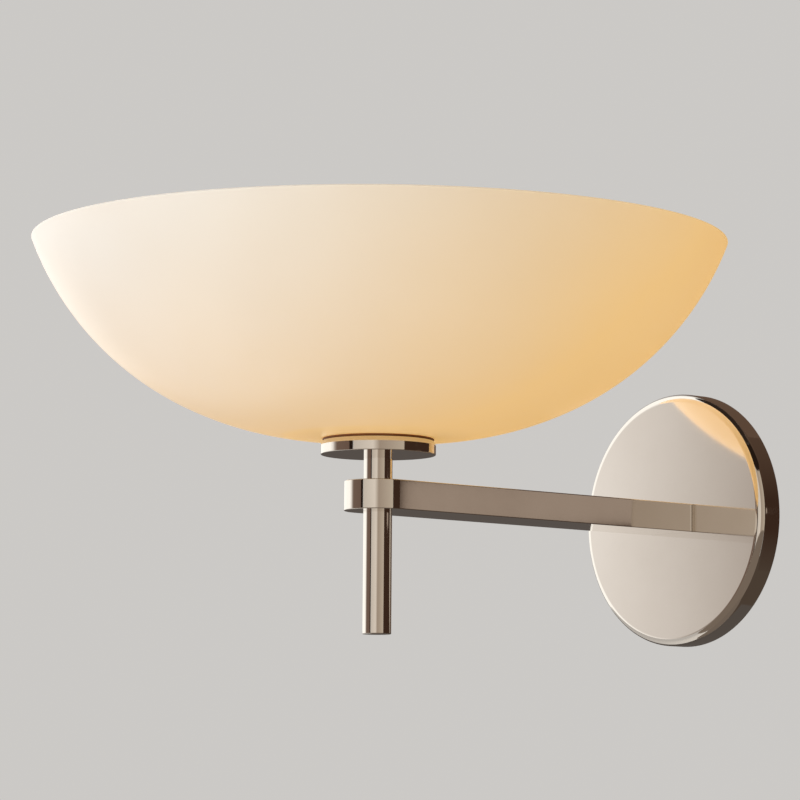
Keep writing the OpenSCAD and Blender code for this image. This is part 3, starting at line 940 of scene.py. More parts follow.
# The opal glass, with a painted glow and a painted contact shadow above the seat.
OPAL = PaintedGlowGlass("opal_glass", (0.90, 0.87, 0.81), (0.87, 0.83, 0.76), (0.30, 0.42), patches=25.0,
                    grain=2500.0, relief=6e-6)
STEEL = Finish("zinc_steel", (0.60, 0.61, 0.62), (0.47, 0.49, 0.52), (0.26, 0.46), metallic=0.55,
               patches=90.0, grain=1400.0, grain_way=Grain.ALONG_STRAP, relief=8e-6)
ZINC = Finish("zinc_screws", (0.62, 0.62, 0.60), (0.50, 0.50, 0.50), (0.22, 0.40), metallic=0.6,
              patches=220.0, grain=3000.0)
BRASS = Finish("brass", (0.72, 0.50, 0.22), (0.60, 0.38, 0.15), (0.18, 0.34), metallic=1.0,
               patches=150.0, grain=2600.0, grain_way=Grain.LATHE)
EARTH_BRASS = Finish("earth_brass", (0.22, 0.38, 0.14), (0.36, 0.42, 0.16), (0.24, 0.42), metallic=1.0,
                     patches=400.0, grain=2600.0)
RUBBER = Finish("black_rubber", (0.018, 0.018, 0.018), (0.030, 0.029, 0.028), (0.55, 0.75), patches=120.0,
                grain=3500.0, relief=1.2e-5)
# The gasket's rubber; its red-brown tone also paints the dark contact shade line between the glass and the
# seat.
SEAL_AND_CONTACT_SHADE = Finish("black_rubber", (0.24, 0.085, 0.032), (0.18, 0.062, 0.024), (0.5, 0.7), patches=120.0,
              grain=3500.0, relief=1.2e-5)
FIBRE = FleckedFinish("fibre", (0.42, 0.16, 0.08), (0.22, 0.08, 0.05), (0.6, 0.8), patches=300.0,
                      relief=1.5e-5)
CERAMIC = Finish("ceramic", (0.82, 0.80, 0.76), (0.76, 0.73, 0.68), (0.12, 0.24), patches=120.0,
                 grain=1800.0, relief=6e-6, coat=0.4)
NYLON = Finish("block_nylon", (0.78, 0.74, 0.66), (0.72, 0.67, 0.58), (0.32, 0.48), patches=200.0,
               grain=3000.0, relief=6e-6)
LIVE = Finish("live_pvc", (0.11, 0.045, 0.02), (0.075, 0.03, 0.015), (0.30, 0.45), patches=300.0,
              grain=2500.0, relief=5e-6)
NEUTRAL = Finish("neutral_pvc", (0.015, 0.06, 0.32), (0.01, 0.04, 0.24), (0.30, 0.45), patches=300.0,
                 grain=2500.0, relief=5e-6)
EARTH = StripedSleeve("earth_pvc", (0.03, 0.22, 0.04), (0.02, 0.16, 0.03), (0.30, 0.45), patches=300.0,
                      grain=2500.0, relief=5e-6)
GLOBE = LitFinish("lamp_diffuser", (0.86, 0.82, 0.74), (0.80, 0.76, 0.68), (0.35, 0.5), patches=80.0,
                  grain=3000.0)
LAMP_BODY = Finish("lamp_body", (0.82, 0.82, 0.80), (0.76, 0.76, 0.74), (0.16, 0.30), patches=120.0,
                   grain=2400.0, coat=0.2)
LAMP_METAL = Finish("lamp_metal", (0.70, 0.70, 0.69), (0.56, 0.56, 0.56), (0.20, 0.36), metallic=1.0,
                    patches=200.0, grain=2400.0, grain_way=Grain.LATHE)
BLACK_GLASS = Finish("black_glass", (0.012, 0.012, 0.014), (0.02, 0.02, 0.022), (0.08, 0.18),
                     patches=300.0, grain=2600.0, relief=3e-6, coat=0.5)
WHITE_BOARD = Finish("white_board", (0.80, 0.80, 0.79), (0.72, 0.73, 0.72), (0.30, 0.45), patches=400.0,
                     grain=3500.0)
PHOSPHOR = LitFinish("led_phosphor", (0.85, 0.58, 0.08), (0.78, 0.50, 0.06), (0.4, 0.55), patches=600.0,
                     grain=4000.0)
GREEN_BOARD = Finish("green_board", (0.015, 0.16, 0.05), (0.02, 0.11, 0.04), (0.25, 0.4), patches=400.0,
                     grain=3500.0, relief=5e-6)


def mount(piece: bpy.types.Object, finish: Finish, *nodes: str) -> None:
    """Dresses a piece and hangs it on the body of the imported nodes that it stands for.

    Args:
        piece: The finished piece.
        finish: Its finish.
        *nodes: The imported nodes, all on one body.
    """
    piece.data.materials.clear()
    piece.data.materials.append(finish.material)
    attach(piece, BODY_OF[nodes[0]])
    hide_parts(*nodes)
    LOG.info("%s stands for %s in %s", piece.name, ", ".join(nodes), finish.slot)


@lru_cache
def stem_axis() -> Axis:
    """The upright line through the stem, from the height of the arm's centreline."""
    spot = Extent.of("stem").middle
    return Axis((spot.x, spot.y, 0.0))


@lru_cache
def wall_axis() -> Axis:
    """The line out of the wall through the canopy's centre."""
    return Axis((0.0, 0.0, 0.0), TO_ROOM)


@dataclass(frozen=True)
class Screw:
    """A small machine screw: a rolled thread and a slotted head, or a six-sided socket where it has none."""

    axis: Axis
    radius: float
    length: float
    head_radius: float = 0.0
    head_height: float = 0.0
    turn: float = 0.0
    pitch: float = 7e-4
    slot_width: float = 8e-4
    slot_depth: float = 1e-3
    slot_reach: float = 1.2
    socket_share: float = 0.55
    thread_share: float = 0.14
    thread_limit: float = 3e-4
    ease_share: float = 0.35
    ease_limit: float = 6e-4
    seat_ease: float = 1e-4
    points_per_turn: int = 8
    fewest_points: int = 24

    def body(self) -> Surface:
        """Makes the screw before its slot is cut.

        Returns:
            The screw, which ends at height 0, or at the top of its head.
        """
        depth = min(self.thread_limit, self.radius * self.thread_share)
        root = self.radius - depth
        low, high = -self.length, 0.0
        points = max(self.fewest_points, int(self.length / self.pitch) * self.points_per_turn)
        shank = upright(root, low + depth, high - depth, points)
        head = np.array([(root, high), (0, high)])
        if self.head_radius > 0:
            ease = min(self.ease_limit, self.head_height * self.ease_share)
            head = rounded([(root, high), (self.head_radius, high, self.seat_ease),
                            (self.head_radius, self.head_height, ease), (0, self.head_height)], closed=False)
        section = np.vstack([[(0, low)], [(root - depth, low)], shank, head])
        thread = Thread(root, depth, self.pitch, low, high)
        return turned(self.axis, section, Spread.SOLID, steps=48, relief=thread)

    def slot(self) -> Surface:
        """Makes the cutter of its slot, or of its socket if the screw has no head.

        Returns:
            The cutter, which stands out a little above the screw.
        """
        if self.head_radius <= 0:
            return rod(self.axis, self.radius * self.socket_share, -self.radius, SUPPORT, steps=6)
        wide, half = self.head_radius * self.slot_reach, self.slot_width / 2
        depths = (self.head_height - self.slot_depth, self.head_height + self.slot_depth)
        spots = np.array([(u, v, h) for u in (-wide, wide) for v in (-half, half) for h in depths])
        radius = np.hypot(spots[:, 0], spots[:, 1])
        angle = np.arctan2(spots[:, 1], spots[:, 0]) + self.turn
        return Surface(self.axis.place(radius, spots[:, 2], angle), [BOX_FACES])


def screws(name: str, *several: Screw) -> bpy.types.Object:
    """Builds a group of screws as one piece.

    Args:
        name: The piece's name.
        *several: The screws.

    Returns:
        The piece, with its slots or sockets cut.
    """
    bodies, cutters = several[0].body(), several[0].slot()
    for screw in several[1:]:
        bodies, cutters = bodies + screw.body(), cutters + screw.slot()
    return carved(bodies.build(name), cutters)


@dataclass
class ShadeAssembly:
    """The glass bowl, with the washer and the threaded ring that clamp it."""

    foot_radius: float = 0.024
    wall: float = 0.0045
    low_curve: float = 0.160
    high_curve: float = 0.142
    meet_slope: float = math.radians(27.0)
    rim_slope: float = math.radians(69.3)
    rim_edge: float = 0.0008
    lip_edge: float = 0.0024
    rim_clear: float = 0.0032
    hole_gap: float = 0.001
    hole_edge: float = 0.0006
    washer_gap: float = 0.0003
    washer_edge: float = 0.0002
    ring_gap: float = 0.00008
    ring_bore_edge: float = 0.0003
    ring_edge: float = 0.0006
    notches: int = 18
    notch_radius: float = 0.0014
    notch_steps: int = 24
    low_points: int = 36
    high_points: int = 56

    def outline(self) -> tuple[np.ndarray, np.ndarray]:
        """Draws the outside of the glass.

        The outside is two arcs that run on smoothly: radius foot + low_curve sin slope up to the meeting
        slope, then the upper arc up to the rim's slope, both grown alike until the rim reaches the packed
        radius.

        Returns:
            The outside's points and, for each, the inward direction, both as radius and height.
        """
        glass = Extent.of("glass_bowl")
        run = ((self.low_curve - self.high_curve) * math.sin(self.meet_slope)
               + self.high_curve * math.sin(self.rim_slope))
        grown = (glass.radius - self.foot_radius) / run
        low, high = self.low_curve * grown, self.high_curve * grown
        first = np.linspace(0.0, self.meet_slope, self.low_points, endpoint=False)
        second = np.linspace(self.meet_slope, self.rim_slope, self.high_points)
        slopes = np.concatenate([first, second])
        bend = np.where(slopes < self.meet_slope, low, high)
        centre = np.where(slopes < self.meet_slope, 0.0, low - high)
        radius = self.foot_radius + centre * math.sin(self.meet_slope) + bend * np.sin(slopes)
        height = glass.low.z + low - centre * math.cos(self.meet_slope) - bend * np.cos(slopes)
        inward = np.column_stack([-np.sin(slopes), np.cos(slopes)])
        return np.column_stack([radius, height]), inward

    def bowl(self) -> Surface:
        """Makes the bowl: its outside, a level rim rounded on both sides, its inside and its hole.

        The inside repeats the outside, moved inward by the wall.

        Returns:
            The bowl.
        """
        glass = Extent.of("glass_bowl")
        base, top = glass.low.z, glass.high.z
        outside, inward = self.outline()
        inside = (outside + inward * self.wall)[::-1]
        lip = np.interp(top, inside[::-1, 1], inside[::-1, 0])
        outside = outside[outside[:, 1] < top - self.rim_clear]
        inside = inside[inside[:, 1] < top - self.rim_clear]
        rim = rounded([tuple(outside[-1]), (glass.radius, top, self.rim_edge), (lip, top, self.lip_edge),
                       tuple(inside[0])], closed=False)
        hole, floor = Extent.of("lampholder_shell").radius + self.hole_gap, base + self.wall
        foot = rounded([(self.foot_radius, floor), (hole, floor, self.hole_edge),
                        (hole, base, self.hole_edge), (self.foot_radius, base)], closed=False)
        section = np.vstack([outside[:-1], rim, inside[1:], foot[1:-1]])
        return turned(stem_axis(), section, steps=288)

    def washer(self) -> Surface:
        """Makes the flat washer between the glass and the ring.

        Returns:
            The washer.
        """
        box, inner = Extent.of("fibre_washer"), Extent.of("lampholder_shell").radius + self.washer_gap
        edge = self.washer_edge
        return turned(stem_axis(), band(inner, box.radius, box.low.z, box.high.z, edge, edge, steps=4))

    def ring(self) -> Surface:
        """Makes the clamping ring with its grip.

        Returns:
            The ring.
        """
        box, bore = Extent.of("shade_ring"), Extent.of("lampholder_shell").radius + self.ring_gap
        section = band(bore, box.radius, box.low.z, box.high.z, self.ring_bore_edge, self.ring_edge,
                       steps=6)
        grip = GripNotches(self.notches, self.notch_radius, box.radius)
        return turned(stem_axis(), section, steps=self.notches * self.notch_steps, relief=grip)

    def build(self) -> None:
        """Builds and mounts the three pieces."""
        mount(self.bowl().build("opal_bowl"), OPAL, "glass_bowl")
        mount(self.washer().build("pressed_washer"), FIBRE, "fibre_washer")
        mount(self.ring().build("clamping_ring"), NICKEL, "shade_ring")


@dataclass
class StemAssembly:
    """The tube through the arm's eye, its plug and grub screw, and the seat with its gasket."""

    wall: float = 0.0018
    bore_edge: float = 0.0002
    foot_edge: float = 0.00035
    plug_edge: float = 0.0003
    cross_hole: float = 0.0035
    bevel_height: float = 0.0022
    bevel_depth: float = 0.0011
    bevel_ease: float = 0.0007
    seat_foot_edge: float = 0.00035
    seat_gap: float = 0.0002
    gasket_inset: float = 0.0008
    gasket_gap: float = 0.001
    gasket_edge: float = 0.0004
    nipple_wall: float = 0.0012
    nipple_depth: float = 0.0003
    nipple_pitch: float = 0.001
    nipple_points: int = 10

    def stem(self) -> bpy.types.Object:
        """Makes the tube, cut square at its foot, with the cross hole for the wires.

        Returns:
            The tube.
        """
        box = Extent.of("stem")
        bore = box.radius - self.wall
        section = rounded([(bore, box.low.z, self.bore_edge), (box.radius, box.low.z, self.foot_edge),
                           (box.radius, box.high.z), (bore, box.high.z)], steps=6)
        piece = turned(stem_axis(), section, steps=192).build("stem_tube")
        towards_wall = Axis(stem_axis().start, TO_WALL)
        return carved(piece, rod(towards_wall, self.cross_hole, 0.0, box.radius * 2))

    def plug(self) -> Surface:
        """Makes the plug, flush with the foot, with eased edges that leave a fine groove.

        Returns:
            The plug.
        """
        box = Extent.of("stem_plug")
        section = rounded([(0, box.low.z), (box.radius, box.low.z, self.plug_edge),
                           (box.radius, box.high.z, self.plug_edge), (0, box.high.z)], closed=False)
        return turned(stem_axis(), section, Spread.SOLID, steps=96)

    def nipple(self) -> Surface:
        """Makes the hollow nipple, threaded outside along its whole length.

        Returns:
            The nipple.
        """
        box = Extent.of("stem_nipple")
        root, bore = box.radius - self.nipple_depth, box.radius - self.nipple_wall
        points = int(box.height / self.nipple_pitch) * self.nipple_points
        outer = upright(root, box.low.z, box.high.z, points)
        section = np.vstack([outer, [(bore, box.high.z), (bore, box.low.z)]])
        thread = Thread(root, self.nipple_depth, self.nipple_pitch, box.low.z, box.high.z)
        return turned(stem_axis(), section, steps=72, relief=thread)

    def seat(self) -> Surface:
        """Makes the round seat, with a steep soft bevel round its top and a fine lower edge.

        Returns:
            The seat.
        """
        box, hole = Extent.of("shade_seat"), Extent.of("stem_nipple").radius + self.seat_gap
        section = rounded([(hole, box.low.z), (box.radius, box.low.z, self.seat_foot_edge),
                           (box.radius, box.high.z - self.bevel_height, self.bevel_ease),
                           (box.radius - self.bevel_depth, box.high.z, self.bevel_ease / 2),
                           (hole, box.high.z)], steps=10)
        return turned(stem_axis(), section, steps=288)

    def gasket(self) -> Surface:
        """Makes the soft ring under the glass, with bulging sides, reaching out almost to the seat's edge,
        where its dark tone also paints the contact shade between the glass and the seat.

        Returns:
            The gasket.
        """
        box, hole = Extent.of("seat_gasket"), Extent.of("lampholder_shell").radius + self.gasket_gap
        reach, edge = Extent.of("shade_seat").radius - self.gasket_inset, self.gasket_edge
        section = band(hole, reach, box.low.z, box.high.z, edge, edge, steps=5)
        return turned(stem_axis(), section, steps=192)

    def grub_screw(self) -> bpy.types.Object:
        """Makes the headless screw in the side of the arm's nose, with its socket outwards.

        Returns:
            The screw.
        """
        box = Extent.of("stem_grub_screw")
        axis = Axis((box.low.x, box.middle.y, box.middle.z), TO_LEFT, TO_WALL)
        return screws("stem_clamp_screw", Screw(axis, box.height / 2, box.high.x - box.low.x))

    def build(self) -> None:
        """Builds and mounts the six pieces."""
        mount(self.stem(), NICKEL, "stem")
        mount(self.plug().build("stem_foot_plug"), NICKEL, "stem_plug")
        mount(self.grub_screw(), NICKEL, "stem_grub_screw")
        mount(self.nipple().build("threaded_nipple"), BRASS, "stem_nipple")
        mount(self.seat().build("bowl_seat"), NICKEL, "shade_seat")
        mount(self.gasket().build("bowl_gasket"), SEAL_AND_CONTACT_SHADE, "seat_gasket")


@dataclass
class ArmAssembly:
    """The flat arm with its round nose, and what holds it to the canopy."""

    edge: float = 0.0004
    end_share: float = 0.6
    end_round: float = 0.002
    eye_gap: float = 0.00005
    wireway: float = 0.0035
    screw_x: float = 0.011
    screw_radius: float = 0.002
    screw_head: float = 0.0035
    screw_turns: tuple[float, float] = (0.6, 2.1)
    hole_gap: float = 0.00005
    hole_depth: float = 0.012
    cutter_start: float = -0.001
    grub_reach: float = 1.2
    washer_width: float = 0.0017
    washer_gap: float = 0.0002
    washer_edge: float = 0.0001
    bush_collar: float = 0.0007
    bush_wall: float = 0.0003
    bush_edge: float = 0.0003
    flange_edge: float = 0.0004
    collar_edge: float = 0.0002
    side_points: int = 61
    nose_points: int = 129

    def outline(self) -> np.ndarray:
        """Draws the bar seen from above, round the stem's axis.

        It is a half-round nose, two straight sides whose points lie at half the width times the tangent of
        an even turn, and the end with its two rounded corners.

        Returns:
            The outline's points, two columns: x and y.
        """
        box = Extent.of("arm")
        half, reach = box.radius, box.high.y - stem_axis().start[1]
        last = math.atan2(reach - self.end_round - SUPPORT, half)
        side = half * np.tan(np.linspace(0.0, last, self.side_points))[:-1]
        corner = rounded([(half, 0.0), (half, reach, self.end_round), (0.0, reach)], closed=False)[1:]
        right = np.vstack([np.column_stack([np.full_like(side, half), side]), corner])
        left = right[-2::-1] * (-1, 1)
        turn = np.linspace(math.pi, FULL_TURN, self.nose_points)[1:-1]
        nose = half * np.column_stack([np.cos(turn), np.sin(turn)])
        return np.vstack([right, left, nose])

    def bar(self) -> Surface:
        """Makes the bar with its eye.

        Each ring of the surface is the outline, drawn in by an inset, or the eye's circle, at its own
        height. At the end the inset is smaller, so that the joint with the canopy stays fine.

        Returns:
            The bar, without its holes.
        """
        box, eye = Extent.of("arm"), Extent.of("stem").radius + self.eye_gap
        half, top, reach = box.radius, box.high.z, box.high.y - stem_axis().start[1]
        x, y = self.outline().T
        angle = np.arctan2(y, x)
        inset, ease = -2 * self.edge, self.edge / 2
        rim = rounded([(inset, -top), (0.0, -top, self.edge), (0.0, top, self.edge), (inset, top)],
                      closed=False)
        mouth = rounded([(-inset, top), (0.0, top, ease), (0.0, -top, ease), (-inset, -top)], closed=False)
        shrink = 1 + rim[:, :1] / half
        end_shrink = 1 + self.end_share * rim[:, :1] / reach
        outer = np.stack([x * shrink, y * np.where(y < 0, shrink, end_shrink),
                          np.repeat(rim[:, 1:], len(angle), 1)], -1)
        round_eye = eye + mouth[:, :1]
        inner = np.stack([round_eye * np.cos(angle), round_eye * np.sin(angle),
                          np.repeat(mouth[:, 1:], len(angle), 1)], -1)
        return net(np.concatenate([outer, inner]) + np.array(stem_axis().start), closed_rows=True)

    def drilled_bar(self) -> bpy.types.Object:
        """Makes the bar with its wireway, its screw holes and the grub screw's hole.

        Returns:
            The finished bar.
        """
        box, grub, start = Extent.of("arm"), Extent.of("stem_grub_screw"), stem_axis().start
        from_end = Axis((0.0, box.high.y, 0.0), TO_ROOM)
        holes = rod(from_end, self.wireway, self.cutter_start, box.high.y - start[1])
        for side in (-1, 1):
            axis = Axis((side * self.screw_x, box.high.y, 0.0), TO_ROOM)
            radius = self.screw_radius + self.hole_gap
            holes = holes + rod(axis, radius, self.cutter_start, self.hole_depth, steps=32)
        piece = carved(self.bar().build("arm_bar"), holes)
        grub_hole = rod(Axis(start, TO_LEFT, TO_WALL), grub.height / 2 + self.hole_gap, 0.0,
                        box.radius * self.grub_reach, steps=48)
        return carved(piece, grub_hole)

    def washers(self) -> Surface:
        """Makes the two lock washers, with eased edges.

        Returns:
            Both washers.
        """
        box, edge = Extent.of("arm_lock_washers"), self.washer_edge
        inner, outer = self.screw_radius + self.washer_gap, self.screw_radius + self.washer_width
        section = band(inner, outer, -box.high.y, -box.low.y, edge, edge, steps=3)
        left, right = (turned(Axis((side * self.screw_x, 0, 0), TO_ROOM), section, steps=64)
                       for side in (-1, 1))
        return left + right

    def screws(self) -> bpy.types.Object:
        """Makes the two screws that come through the canopy's face from behind.

        Returns:
            Both screws.
        """
        box, seat = Extent.of("arm_screws"), Extent.of("arm_lock_washers").high.y
        several = (Screw(Axis((side * self.screw_x, seat, 0), TO_WALL), self.screw_radius, seat - box.low.y,
                         self.screw_head, box.high.y - seat, turn)
                   for side, turn in zip((-1, 1), self.screw_turns))
        return screws("arm_fixing_screws", *several)

    def grommet(self) -> Surface:
        """Makes the rubber bush that the wires pass, with a soft flange behind the plate.

        Returns:
            The bush.
        """
        box, seat = Extent.of("wire_grommet"), -Extent.of("stiffener_plate").high.y
        collar, bore = self.wireway + self.bush_collar, self.wireway - self.bush_wall
        back, front, edge = -box.high.y, -box.low.y, self.bush_edge
        section = rounded([(bore, back, edge), (box.radius, back, self.flange_edge),
                           (box.radius, seat, edge), (collar, seat), (collar, front, self.collar_edge),
                           (bore, front, edge)], steps=5)
        return turned(wall_axis(), section, steps=96)

    def build(self) -> None:
        """Builds and mounts the four pieces."""
        mount(self.drilled_bar(), NICKEL, "arm")
        mount(self.screws(), ZINC, "arm_screws")
        mount(self.washers().build("arm_spring_washers"), ZINC, "arm_lock_washers")
        mount(self.grommet().build("wire_bush"), RUBBER, "wire_grommet")


@dataclass
class CanopyAssembly:
    """The round canopy, its side screws, the plate behind its face and the strap on the wall."""

    wall: float = 0.0016
    edge: float = 0.0040
    rim_edge: float = 0.0003
    bush_hole: float = 0.00425
    arm_screw_x: float = 0.011
    arm_screw_hole: float = 0.0022
    side_screw_gap: float = 0.0002
    side_screw_length: float = 0.009
    side_screw_pitch: float = 0.0005
    cutter_reach: float = 0.002
    earth_radius: float = 0.002
    earth_head: float = 0.0024
    earth_turns: tuple[float, float] = (0.4, 1.1)
    steel_edge: float = 0.0003

    def canopy(self) -> bpy.types.Object:
        """Makes the spun shell with its holes for the arm's screws, the bush and the side screws.

        Returns:
            The shell.
        """
        box, side = Extent.of("canopy"), Extent.of("canopy_side_screws")
        outer, depth = box.radius, -box.low.y
        inner, face = outer - self.wall, depth - self.wall
        section = rounded([(inner, 0.0, self.rim_edge), (outer, 0.0, self.rim_edge),
                           (outer, depth, self.edge), (self.bush_hole, depth), (self.bush_hole, face),
                           (inner, face, self.edge - self.wall)], steps=16)
        piece = turned(wall_axis(), section, steps=320).build("spun_canopy")
        radius = side.radius + self.side_screw_gap
        for way in (-1, 1):
            through = rod(Axis((way * self.arm_screw_x, 0, 0), TO_ROOM), self.arm_screw_hole, face / 2,
                          depth * 2, steps=32)
            sideways = rod(Axis((0, side.middle.y, 0), (0, 0, way)), radius, inner - self.cutter_reach,
                           outer + self.cutter_reach, steps=32)
            carved(piece, through + sideways)
        return piece

    def side_screws(self) -> bpy.types.Object:
        """Makes the two headless screws, one at the bottom and one at the top.

        Returns:
            Both screws.
        """
        box = Extent.of("canopy_side_screws")
        several = (Screw(Axis((0, box.middle.y, way * box.high.z), (0, 0, way)), box.radius,
                         self.side_screw_length, pitch=self.side_screw_pitch) for way in (-1, 1))
        return screws("canopy_grub_screws", *several)

    def earth_screws(self) -> None:
        """Builds and mounts the two earth screws, on the strap and on the plate."""
        strap, plate = Extent.of("bracket_earth_screw"), Extent.of("plate_earth_screw")
        wall, back = Extent.of("wall_bracket").high.y, Extent.of("stiffener_plate").high.y
        seat = strap.low.y + self.earth_head
        strap_turn, plate_turn = self.earth_turns
        one = Screw(Axis((0, seat, strap.middle.z), TO_ROOM), self.earth_radius, wall - seat, strap.radius,
                    self.earth_head, strap_turn)
        two = Screw(Axis((plate.middle.x, back, 0), TO_WALL), self.earth_radius, back - plate.low.y,
                    plate.radius, plate.high.y - back, plate_turn)
        mount(screws("strap_earth_screw", one), EARTH_BRASS, "bracket_earth_screw")
        mount(screws("plate_earth_clamp", two), EARTH_BRASS, "plate_earth_screw")

    def build(self) -> None:
        """Builds and mounts the six pieces."""
        mount(self.canopy(), SPUN, "canopy")
        mount(self.side_screws(), NICKEL, "canopy_side_screws")
        mount(eased_copy("stiffener_plate", "arm_plate", self.steel_edge), STEEL, "stiffener_plate")
        mount(eased_copy("wall_bracket", "wall_strap", self.steel_edge), STEEL, "wall_bracket")
        self.earth_screws()


@dataclass
class TerminalAssembly:
    """The two-pole block on the strap, its clamp screws and its fixing screw."""

    block_edge: float = 0.0004
    pole_radius: float = 0.0018
    pole_x: float = 0.0045
    pole_pitch: float = 0.0006
    inset: float = 0.0032
    fixing_radius: float = 0.0015
    fixing_head: float = 0.002
    fixing_turn: float = 0.9

    def clamps(self) -> bpy.types.Object:
        """Makes the four clamp screws, each with its socket to the front.

        Returns:
            The screws.
        """
        box, case = Extent.of("terminal_screws"), Extent.of("terminal_block")
        rows = (case.low.z + self.inset, case.high.z - self.inset)
        several = (Screw(Axis((side * self.pole_x, box.low.y, z), TO_ROOM), self.pole_radius,
                         box.high.y - box.low.y, pitch=self.pole_pitch) for side in (-1, 1) for z in rows)
        return screws("pole_clamp_screws", *several)

    def fixing(self) -> bpy.types.Object:
        """Makes the screw that holds the block to the strap.

        Returns:
            The screw.
        """
        box = Extent.of("block_screw")
        seat = box.low.y + self.fixing_head
        return screws("block_fixing_screw", Screw(Axis((0, seat, box.middle.z), TO_ROOM), self.fixing_radius,
                                                  box.high.y - seat, box.radius, self.fixing_head,
                                                  self.fixing_turn))

    def build(self) -> None:
        """Builds and mounts the three pieces."""
        mount(eased_copy("terminal_block", "pole_block", self.block_edge), NYLON, "terminal_block")
        mount(self.clamps(), BRASS, "terminal_screws")
        mount(self.fixing(), ZINC, "block_screw")


@dataclass
class LampholderAssembly:
    """The threaded lampholder: cup, nut, ceramic core, outer shell, screw shell and contacts."""

    floor: float = 0.0025
    cup_bore: float = 0.0165
    cup_gap: float = 0.0002
    cup_foot_edge: float = 0.0006
    cup_lip_edge: float = 0.0002
    cup_floor_edge: float = 0.0005
    shell_wall: float = 0.00185
    shell_depth: float = 0.00035
    shell_pitch: float = 0.0025
    shell_points: int = 14
    shell_edge: float = 0.0003
    sleeve_wall: float = 0.00045
    sleeve_pitch: float = 0.0036
    sleeve_points: int = 16
    strip: float = 0.0006
    pocket: float = 0.0125
    pocket_rise: float = 0.006
    pocket_edge: float = 0.0008
    mouth_edge: float = 0.0004
    core_foot_edge: float = 0.0005
    core_top_edge: float = 0.0008
    terminal_x: float = 0.008
    terminal_radius: float = 0.0015
    terminal_head: float = 0.0018
    terminal_gap: float = 0.00005
    terminal_pitch: float = 0.0006
    terminal_turns: tuple[float, float] = (0.3, 1.4)
    cutter_below: float = 0.001
    cutter_above: float = 0.002
    nut_edge: float = 0.0003
    contact_edge: float = 0.0001

    def cup(self) -> Surface:
        """Makes the base cup, drawn from sheet, with a soft lower edge.

        Returns:
            The cup.
        """
        box, hole = Extent.of("lampholder_base"), Extent.of("stem_nipple").radius + self.cup_gap
        floor = box.low.z + self.floor
        section = rounded([(hole, box.low.z), (box.radius, box.low.z, self.cup_foot_edge),
                           (box.radius, box.high.z, self.cup_lip_edge),
                           (self.cup_bore, box.high.z, self.cup_lip_edge),
                           (self.cup_bore, floor, self.cup_floor_edge), (hole, floor)], steps=6)
        return turned(stem_axis(), section)

    def shell(self) -> Surface:
        """Makes the outer shell, with a coarse rolled thread outside for the clamping ring.

        Returns:
            The shell.
        """
        box = Extent.of("lampholder_shell")
        root, bore = box.radius - self.shell_depth, box.radius - self.shell_wall
        points = int(box.height / self.shell_pitch) * self.shell_points
        outer = upright(root, box.low.z, box.high.z, points)
        inner = rounded([(root, box.high.z), (bore, box.high.z, self.shell_edge),
                         (bore, box.low.z, self.shell_edge), (root, box.low.z)], closed=False, steps=5)
        thread = Thread(root, self.shell_depth, self.shell_pitch, box.low.z, box.high.z)
        return turned(stem_axis(), np.vstack([outer, inner[1:-1]]), steps=160, relief=thread)

    def sleeve(self) -> bpy.types.Object:
        """Makes the brass screw shell, rolled through its wall, with the half floor that one terminal holds.

        Returns:
            The screw shell.
        """
        box, base = Extent.of("screw_shell"), Extent.of("lampholder_core").high.z
        root = box.radius - self.sleeve_wall - self.shell_depth
        points = int(box.height / self.sleeve_pitch) * self.sleeve_points
        inner = upright(root, base, box.high.z, points)
        outer = (inner + (self.sleeve_wall, 0.0))[::-1]
        thread = Thread(root, self.shell_depth, self.sleeve_pitch, base, box.high.z)
        wall = turned(stem_axis(), np.vstack([inner, outer]), steps=144, relief=thread)
        piece = wall.build("rolled_sleeve")
        plate = rod(stem_axis(), root + self.sleeve_wall / 2, base, base + self.strip, steps=96)
        # The cutter is far wider and thicker than the floor, so that all its other sides lie clear.
        stem_y, wide, thick = stem_axis().start[1], 4 * root, 4 * self.strip
        away = block((wide / 2 - self.terminal_x / 2, stem_y, base), (wide, wide, thick))
        hole = rod(Axis((-self.terminal_x, stem_y, base)), self.terminal_radius + self.terminal_gap,
                   -self.cutter_below, self.cutter_above, steps=32)
        floor = Surface.taken_from(carved(plate.build("sleeve_floor"), away + hole))
        return carved(piece, floor, Cut.JOINED)

    def core(self) -> bpy.types.Object:
        """Makes the ceramic core, glazed and soft-edged, with its pocket and two terminal holes.

        Returns:
            The core.
        """
        box, stem_y = Extent.of("lampholder_core"), stem_axis().start[1]
        roof = box.low.z + self.pocket_rise
        section = rounded([(0, roof), (self.pocket, roof, self.pocket_edge),
                           (self.pocket, box.low.z, self.mouth_edge),
                           (box.radius, box.low.z, self.core_foot_edge),
                           (box.radius, box.high.z, self.core_top_edge), (0, box.high.z)],
                          closed=False, steps=6)
        piece = turned(stem_axis(), section, Spread.SOLID, steps=144).build("ceramic_core")
        left, right = (rod(Axis((side * self.terminal_x, stem_y, box.low.z)),
                           self.terminal_radius + self.terminal_gap, self.pocket_rise / 2,
                           box.height + self.cutter_above, steps=32) for side in (-1, 1))
        return carved(piece, left + right)

    def terminals(self) -> bpy.types.Object:
        """Makes the two terminal screws, heads down in the core's pocket.

        Returns:
            Both screws.
        """
        box, stem_y = Extent.of("holder_terminal_screws"), stem_axis().start[1]
        seat = box.low.z + self.terminal_head
        several = (Screw(Axis((side * self.terminal_x, stem_y, seat), DOWN), self.terminal_radius,
                         box.high.z - seat, box.radius - self.terminal_x, self.terminal_head, turn,
                         self.terminal_pitch) for side, turn in zip((-1, 1), self.terminal_turns))
        return screws("holder_clamp_screws", *several)

